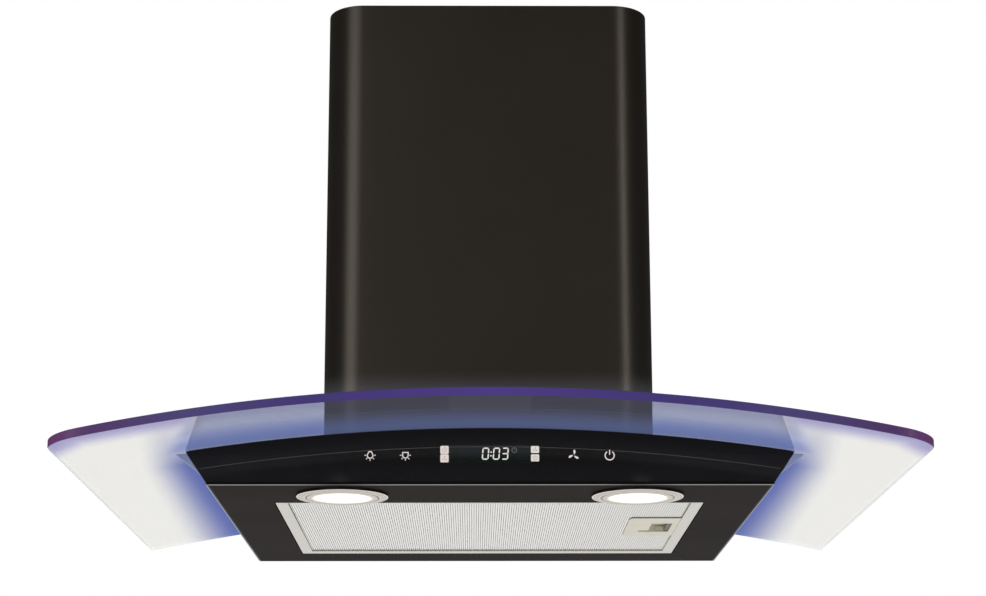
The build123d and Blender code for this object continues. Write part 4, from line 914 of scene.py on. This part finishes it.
def turned_metal(name, colour, rough, stretch=(1, 1, 12)):
    """Bright metal with fine lines from drawing or turning."""
    paint = Paint(name, Metallic=1.0)
    lines = paint.noise(0.6, stretch, detail=4)
    tone = paint.mottle(lines, scaled(colour, 0.85), colour)
    paint.look(Base_Color=tone, Roughness=paint.spread(lines, rough - 0.06, rough + 0.1))
    paint.bump(lines, 0.01)
    return paint


def plastic(name, colour, rough=0.45, grain=0.8, depth=0.02):
    """Moulded plastic with an eroded texture."""
    paint = Paint(name)
    fine, slow = paint.noise(grain), paint.noise(30, detail=2)
    tone = paint.mottle(slow, scaled(colour, 0.9), colour)
    paint.look(Base_Color=tone, Roughness=paint.spread(fine, rough - 0.05, rough + 0.08))
    paint.bump(fine, depth)
    return paint


def lit_plastic(name, light, strength, *look):
    """Plastic that also glows."""
    paint = plastic(name, *look)
    paint.glow(light, strength)
    return paint


def light_paint(name, colour):
    """Printed symbol lit from behind, a little uneven."""
    paint = Paint(name, Base_Color=(0.02, 0.02, 0.02), Roughness=0.3)
    direct = paint.math("LESS_THAN", paint.value("LightPath", "Glossy Depth"), 0.5)
    paint.glow(paint.mottle(paint.noise(1.6), scaled(colour, 0.86), colour), direct)
    return paint


def circuit_board(name):
    """Green solder mask with copper tracks showing through it."""
    paint = Paint(name, Roughness=0.35)
    inputs = {"Vector": paint.place(), "Scale": 260.0}
    cells = paint.value("TexVoronoi", "Distance", inputs, distance="MANHATTAN")
    track = paint.spread(cells, 0, 1, 0.28, 0.36)
    paint.look(Base_Color=paint.blend(track, (0.03, 0.16, 0.06), (0.008, 0.07, 0.03)))
    paint.bump(track, 0.03)
    return paint


def make_fascia_gloss(name):
    """Gloss black, darker towards its top, with a painted glow of lamp light above each lamp."""
    paint = Paint(name, Specular_IOR_Level=0.2)
    fine, slow = paint.noise(2.0), paint.noise(30, detail=2)
    tone = paint.mottle(slow, (0.0085, 0.0077, 0.0078), (0.0098, 0.0089, 0.009))
    paint.look(Roughness=paint.spread(fine, 0.04, 0.12))
    paint.bump(fine, 0.0006)
    x, _, z = paint.axes()
    beside, above = abs(x) - LAMP_X / 1000, z - UNDER / 1000
    # Darker towards the top.
    high = paint.smooth(above, 0.006, 0.034)
    paint.look(Base_Color=paint.blend(high, tone, (0.0045, 0.0037, 0.0025)))
    # Painted glow of lamp light on the fascia above each lamp.
    painted_lamp_glow = paint.smooth(abs(beside), 0.011, 0.0) * paint.smooth(above, 0.011, 0.0)
    paint.glow((0.85, 0.9, 1.0), painted_lamp_glow * 0.012)
    return paint


def make_seam_shade(name):
    """Painted shade in the crimp between the net and its frame: dotted along the rear, lighter
    where the net's strands end, and along the sides darker towards the front.
    """
    paint = Paint(name, Roughness=0.6)
    x, y, _ = paint.axes()
    wave = paint.math("SINE", x * (math.tau * 1000 / SHADE_DOT_PITCH))
    dots = paint.blend(paint.smooth(wave, -0.8, 0.8), (0.09, 0.082, 0.07), (0.3, 0.285, 0.25))
    rear = WINDOW_DEPTHS[0] / -1000
    lit = paint.smooth(y, -0.26, rear - 0.005)
    side = paint.blend(lit, (0.08, 0.074, 0.065), (0.42, 0.4, 0.36))
    at_rear = paint.smooth(y, rear - 0.0022, rear - 0.0018)
    paint.look(Base_Color=paint.blend(at_rear, side, dots))
    paint.bump(paint.noise(1.0), 0.03)
    return paint


def make_bezel_metal(name):
    """Satin metal of the lamp bezels, with painted shade in the turned grooves and on the upright
    wall, painted highlights on the rims, and a painted glow near the lens.
    """
    paint = Paint(name, Metallic=1.0)
    x, y, _ = paint.axes()
    across, along = abs(x) - LAMP_X / 1000, y + LAMP_DEPTH / 1000
    radius = paint.math("SQRT", across ** 2.0 + along ** 2.0) / (LAMP_R / 1000)
    # Painted shade in the grooves and painted highlights on the rims, by radius.
    plain, groove_shade = (0.63, 0.573, 0.505), (0.2, 0.17, 0.15)
    line, rim = (0.42, 0.38, 0.34), (0.76, 0.72, 0.66)
    stops = [(20.8, rim), (21.6, plain), (25.9, plain), (26.4, groove_shade), (27.0, groove_shade), (27.5, rim)]
    stops += [(28.6, plain), (29.6, plain), (30.0, line), (30.4, plain), (31.2, rim)]
    stops += [(31.7, line), (32.1, line), (32.5, rim), (34.0, rim)]
    tone = paint.ramp(radius, [(stop / LAMP_R, colour) for stop, colour in stops])
    # Painted shade on the upright outer wall.
    wall_shade = paint.smooth(paint.axes("Normal")[2], -0.35, -0.1)
    tone = paint.blend(wall_shade, tone, (0.02, 0.018, 0.016))
    lines = paint.noise(3.0, (1, 1, 4))
    tone = paint.blend(paint.spread(lines, 0, 0.06), tone, (0.3, 0.28, 0.26))
    paint.look(Base_Color=tone, Roughness=paint.spread(lines, 0.32, 0.42))
    # Painted glow near the lens.
    paint.glow((1.0, 0.96, 0.9), paint.smooth(radius, 23.6 / LAMP_R, 20.8 / LAMP_R) * 0.35)
    return paint


def make_trim_edge(name):
    """The trim's bright lower face; its front is black like the fascia."""
    paint = Paint(name, Roughness=0.3, Specular_IOR_Level=0.05)
    under = paint.smooth(paint.axes("Normal")[2], -0.4, -0.7)
    lines = paint.noise(0.6, (1, 12, 12), detail=4)
    steel = paint.mottle(lines, (0.112, 0.109, 0.107), (0.138, 0.134, 0.132))
    paint.look(Base_Color=paint.blend(under, (0.004, 0.0036, 0.0036), steel), Metallic=under)
    return paint


def make_cover_sheet(name):
    """The chimney's enamel with a painted soft blue glow level with the lit edge of the glass,
    standing in for the light the glass throws on it.
    """
    paint = enamel(name, BLACK, 0.36, 0.5, WARM)
    height = paint.axes()[2] * 1000.0 - (UNDER + HALO_HEIGHT)
    # Painted glow.
    paint.glow((0.8, 0.85, 1.0), paint.smooth(abs(height), HALO_HALF, 0.0) * 0.045)
    return paint


def make_glass_material(name, lit):
    """Toughened glass with painted light: blue near the body's sides and in front of the fascia,
    violet along its rim; lit faces also send out a painted glow.
    """
    paint = Paint(name, Roughness=0.0, IOR=1.5, Transmission_Weight=1.0)
    x, y, _ = paint.axes()
    x, depth = abs(x) * 1000.0, y * -1000.0

    def positive(value):
        return paint.math("MAXIMUM", value, 0.0)

    beside, past = x - BODY_TOP_HALF, depth - BODY_D
    far = positive((beside + GLOW_START) / (GLOW_REACH[0] - depth * GLOW_REACH[1]))
    ahead = positive(depth - GLOW_AHEAD[0]) * GLOW_AHEAD[1]
    far = paint.math("SQRT", far * far + ahead)
    side = paint.smooth(1.0 - far, 0.0, 1.0) * SIDE_SHARE
    outside = paint.smooth(beside, -16.0, -9.0), paint.smooth(past, 0.0, 8.0)
    side = side * paint.math("MAXIMUM", *outside)

    within = BODY_TOP_HALF - past * FRONT_TAPER - x
    front = paint.smooth(within, -9.0, 4.0) * paint.smooth(past, -3.0, 2.0)
    corner = paint.smooth(abs(within - 2.0), 11.0, 0.0) * paint.smooth(past, 30.0, 60.0)
    near = paint.smooth(past, 90.0, 12.0)

    over = positive(x - GLASS_INNER)
    fore = depth - (GLASS_SIDE_D - GLASS_CORNER)
    length = paint.math("SQRT", over * over + positive(fore) ** 2.0)
    inset = GLASS_CORNER - length - paint.math("MINIMUM", fore, 0.0)
    rim = paint.smooth(inset, RIM_WIDTH, 0.0) * (RIM_LEVEL[0] - front * RIM_LEVEL[1])

    # Painted light as tint: blue beside the body and in front of the fascia, violet along the rim.
    tint = paint.blend(front, CLEAR_TINT, paint.blend(near, *FRONT_GLOW_TINTS))
    paint.look(Base_Color=paint.blend(rim, tint, RIM_TINT))
    surface = paint.shader.outputs[0]
    # Lit faces mix in a painted glow.
    if lit:
        glow = paint.blend(front, SIDE_GLOW, paint.blend(near, *FRONT_GLOWS))
        glow = paint.value("Emission", 0, {"Color": paint.blend(rim, glow, RIM_GLOW)})
        share = paint.mix(front, side, near ** 1.5 * FRONT_SHARES[0] + FRONT_SHARES[1])
        share = paint.mix(rim, paint.mix(corner, share, CORNER_SHARE), RIM_SHARE)
        surface = paint.mix_shaders(share, surface, glow)
    through = paint.value("BsdfTransparent", 0, {"Color": (0.8, 0.82, 0.9)})
    paint.show(paint.value("LightPath", "Is Shadow Ray"), surface, through)
    return paint


def make_edge_material(name):
    """Polished front edge, painted blue-violet and glowing as if lit from inside, redder round the
    corners.
    """
    paint = Paint(name, Roughness=0.32, Specular_IOR_Level=0.12)
    stops = [(0.0, (0.05, 0.03, 0.163)), (0.43, (0.039, 0.026, 0.121))]
    stops += [(0.67, (0.046, 0.037, 0.122)), (0.9, (0.052, 0.022, 0.088))]
    stops += [(0.975, (0.094, 0.032, 0.108))]
    colour = paint.ramp(abs(paint.axes()[0]) / (GLASS_HALF / 1000), stops)
    paint.look(Base_Color=colour)
    # Painted glow.
    paint.glow(colour, 0.25)
    paint.bump(paint.noise(2.5, (1, 1, 4)), 0.01)
    return paint


# ---- Materials ----
BLACK = (0.0066, 0.0052, 0.0034)
WARM = (1.0, 0.88, 0.75)
# spacing of the painted shade's dots along the net's rear edge
SHADE_DOT_PITCH = 3.4
HALO_HEIGHT = 95.0  # where the lit glass edge throws its light on the chimney
HALO_HALF = 26.0
# Painted light of the glass: its blue glow and tint beside the body and in front of the fascia, and
# its violet rim.
GLOW_START = 5.0  # how far inside the lit edge the blue light begins to fade
GLOW_REACH = (52.0, 0.0435)  # its width at the wall, and how much that shrinks with depth
GLOW_AHEAD = (345.0, 0.004)  # depth where it begins to fade towards the front, and how fast
FRONT_TAPER = 0.25  # how fast the lit field in front of the fascia narrows
CLEAR_TINT = (0.82, 0.81, 0.765)
SIDE_GLOW = (0.112, 0.15, 0.42)
FRONT_GLOW_TINTS = (0.73, 0.79, 1.0), (0.34, 0.44, 1.0)  # far from the fascia, and at it
FRONT_GLOWS = (0.245, 0.24, 0.315), (0.12, 0.155, 0.31)
RIM_TINT = (0.13, 0.08, 0.66)
RIM_GLOW = (0.1, 0.1, 0.1)
RIM_WIDTH = 46.0
RIM_LEVEL = (0.78, 0.48)  # how strong the rim's colour is, and how much less in the lit field
# How much of what a lit face sends out is its painted glow.
SIDE_SHARE = 0.97
FRONT_SHARES = (0.5, 0.09)  # more at the fascia, and everywhere
CORNER_SHARE = 0.58
RIM_SHARE = 0.32

LOOKS = {
    enamel: {
        "black_sheet": (BLACK, 0.36, 0.5, WARM),
        "underside_sheet": ((0.02, 0.0163, 0.0148), 0.68, 0.02),
        "shell_sheet": ((0.006, 0.006, 0.0075), 0.5, 0.05),
    },
    make_cover_sheet: {"cover_sheet": ()},
    sheet_metal: {
        "zinc_steel": ((0.56, 0.58, 0.6), 0.42),
        "lamp_can": ((0.5, 0.5, 0.5), 0.4, 3.0),
        "motor_steel": ((0.4, 0.41, 0.42), 0.45, 2.0, 0.06),
    },
    turned_metal: {
        "bright_steel": ((0.62, 0.61, 0.6), 0.28),
        "trim_steel": ((0.14, 0.137, 0.132), 0.3, (1, 12, 12)),
        "lamp_chrome": ((0.66, 0.6, 0.54), 0.22),
        "filter_metal": ((0.69, 0.665, 0.61), 0.34, (1, 10, 1)),
        "filter_net": ((1.0, 0.99, 0.95), 0.4, (1, 4, 1)),
        "net_side": ((0.56, 0.54, 0.5), 0.5, (1, 4, 1)),
        # steel tinted blue: a painted reflection of the glass's glow
        "hem_steel": ((0.17, 0.2, 0.37), 0.3, (12, 1, 12)),
    },
    make_trim_edge: {"trim_edge": ()},
    make_bezel_metal: {"bezel_metal": ()},
    make_seam_shade: {"seam_shade": ()},
    plastic: {
        "seam_line": ((0.046, 0.043, 0.037), 0.2, 2.0, 0.001),
        # Darker copies of the latch's plastic: painted shade in the recess and on the slide.
        "slide_plastic": ((0.2, 0.19, 0.145), 0.6, 1.2),
        "cup_plastic": ((0.64, 0.61, 0.48), 0.5, 1.2),
        "latch_plastic": ((0.88, 0.835, 0.7), 0.5, 1.2),
        "case_plastic": ((0.55, 0.55, 0.52), 0.5),
        "fan_plastic": ((0.05, 0.05, 0.052), 0.5),
        "soft_rubber": ((0.02, 0.02, 0.02), 0.75, 1.5),
        "cable_sheath": ((0.3, 0.3, 0.31), 0.5, 1.0),
        "filter_fleece": ((0.7, 0.69, 0.66), 0.9, 0.5, 0.3),
        "display_tint": ((0.004, 0.007, 0.005), 0.1, 2.0, 0.002),
        # bluish: the painted glow that shows beside the fascia's upper corners
        "light_wing": ((0.25, 0.29, 0.43), 0.2, 1.0, 0.01),
    },
    lit_plastic: {
        "lamp_lens": ((1, 0.97, 0.92), 0.75, (0.9, 0.9, 0.88), 0.4, 1.0),
        # The pane's side edges: pale, with a painted glow for the light they catch.
        "glass_rim": ((0.9, 0.92, 0.9), 0.4, (0.86, 0.88, 0.86), 0.25, 2.0, 0.01),
    },
    make_edge_material: {"glass_edge": ()},
    make_glass_material: {"tinted_glass": (True,), "glass_top": (False,)},
    make_fascia_gloss: {"fascia_gloss": ()},
    circuit_board: {"board_green": ()},
    light_paint: {
        "symbol_white": ((0.75, 0.69, 0.66),),
        "digit_white": ((0.78, 0.76, 0.7),),
        "tile_rose": ((0.76, 0.66, 0.62),),
        "tile_white": ((0.74, 0.7, 0.65),),
        "tile_ink": ((0.4, 0.34, 0.31),),
        "clock_grey": ((0.07, 0.068, 0.065),),
    },
}
MATERIALS = {}
for maker, looks in LOOKS.items():
    for look_name, look in looks.items():
        MATERIALS[look_name] = maker(look_name, *look).material

# ---- CAD nodes and their looks ----
OWN_MATERIALS = {
    "body_shell": "shell_sheet", "latch_slide": "slide_plastic", "fascia_trim": "trim_edge",
}
ROUNDED = {
    "body_shell": 0.4, "fascia_trim": 0.15, "control_fascia": 0.3, "blower_box": 0.5,
    "outlet_collar": 0.3, "control_box": 0.4, "control_box_lid": 0.4, "display_module": 0.3,
    "wall_plate": 0.3,
}
for node_name, node in NODES.items():
    for slot in node.material_slots:
        packed = slot.material.name.split(".")[0]
        slot.material = MATERIALS[OWN_MATERIALS.get(node_name, packed)]
    if node_name in ROUNDED:
        soften(node, ROUNDED[node_name])

make_glass()
make_chimney()
make_lamps()
make_symbols()
make_filter_mesh()
make_filter_rails()
make_latch()
make_slide_tab()
make_springs()
make_edge_lines()

# ---- Camera, from the fit to the photograph ----
LENS = 77.027
CAMERA = Vector((-0.01295, -1.87867, -0.41394))
PITCH, YAW, ROLL = 0.22667, 0.0100, 0.00228
SHIFT = 0.08
camera = link(bpy.data.objects.new("camera", bpy.data.cameras.new("camera")))
camera.data.lens = LENS
camera.data.shift_y = SHIFT
turn = Matrix.Rotation(-YAW, 4, "Z") @ Matrix.Rotation(math.pi / 2 + PITCH, 4, "X")
camera.matrix_world = Matrix.Translation(CAMERA) @ turn @ Matrix.Rotation(-ROLL, 4, "Z")
bpy.context.scene.camera = camera

# ---- Floor, lamps and world ----
FLOOR = -2.8
FLOOR_GLOW = 0.42  # as the camera sees it
SKY_LIGHT = 0.6
SKY_MIRRORED = (1.0, 0.085)  # its strength in reflections, below and overhead


def make_floor():
    """Pale plain floor, a storey below the hood, so that views from below stay above it."""
    shape = bmesh.new()
    bmesh.ops.create_grid(shape, x_segments=1, y_segments=1, size=30.0)
    floor = as_object("floor", shape)
    floor.location.z = FLOOR
    paint = Paint("floor", Base_Color=(0.8, 0.8, 0.79), Roughness=0.9, Specular_IOR_Level=0.1)
    path = paint.add("LightPath").outputs
    paint.glow((1, 1, 0.99), paint.math("MULTIPLY", path["Is Camera Ray"], FLOOR_GLOW))
    bent = paint.math("MAXIMUM", path["Is Glossy Ray"], path["Is Transmission Ray"])
    white = paint.value("Emission", 0, {"Color": (1, 1, 1)})
    paint.show(bent, paint.shader.outputs[0], white)
    floor.data.materials.append(paint.material)


def make_world():
    """Plain studio: white behind everything, paler for the light, dark overhead in reflections."""
    world = bpy.data.worlds.new("studio")
    bpy.context.scene.world = world
    sky = Tree(world)
    path = sky.add("LightPath").outputs
    light = sky.nodes["Background"]
    sky.set(light, "Color", (1, 1, 1))
    sky.set(light, "Strength", SKY_LIGHT)
    white = sky.value("Background", 0, {"Color": (1, 1, 1)})
    strength = sky.smooth(sky.axes("Generated")[2], -0.05, 0.06, *SKY_MIRRORED)
    mirror = sky.value("Background", 0, {"Strength": strength})
    bent = sky.math("MAXIMUM", path["Is Glossy Ray"], path["Is Transmission Ray"])
    direct = sky.math("LESS_THAN", path["Glossy Depth"], 0.5)
    through = sky.math("MULTIPLY", path["Is Transmission Ray"], direct)
    straight = sky.math("MAXIMUM", path["Is Camera Ray"], through)
    mixed = sky.mix_shaders(bent, light.outputs[0], mirror)
    sky.set(sky.nodes["World Output"], "Surface", sky.mix_shaders(straight, mixed, white))


def add_lamp(name, place, aim, size, power, mirrored=True):
    """Soft rectangular lamp that points at a place."""
    data = bpy.data.lights.new(name, "AREA")
    data.shape = "RECTANGLE"
    data.size, data.size_y = size
    data.energy = power
    lamp = link(bpy.data.objects.new(name, data))
    lamp.location = place
    lamp.rotation_euler = (Vector(aim) - Vector(place)).to_track_quat("-Z", "Y").to_euler()
    lamp.visible_camera = False
    lamp.visible_glossy = mirrored
    lamp.visible_transmission = mirrored


make_floor()
make_world()
add_lamp("left_bank", (-1.3, -2.2, 0.6), (0, -0.2, 0), (1.3, 1.6), 20)
add_lamp("right_bank", (1.3, -2.2, 0.6), (0, -0.2, 0), (0.36, 1.6), 12)
add_lamp("low_bank", (0.0, -1.4, -1.6), (0, -0.3, 0), (2.2, 1.8), 11, mirrored=False)

bpy.context.scene.view_settings.view_transform = "Standard"
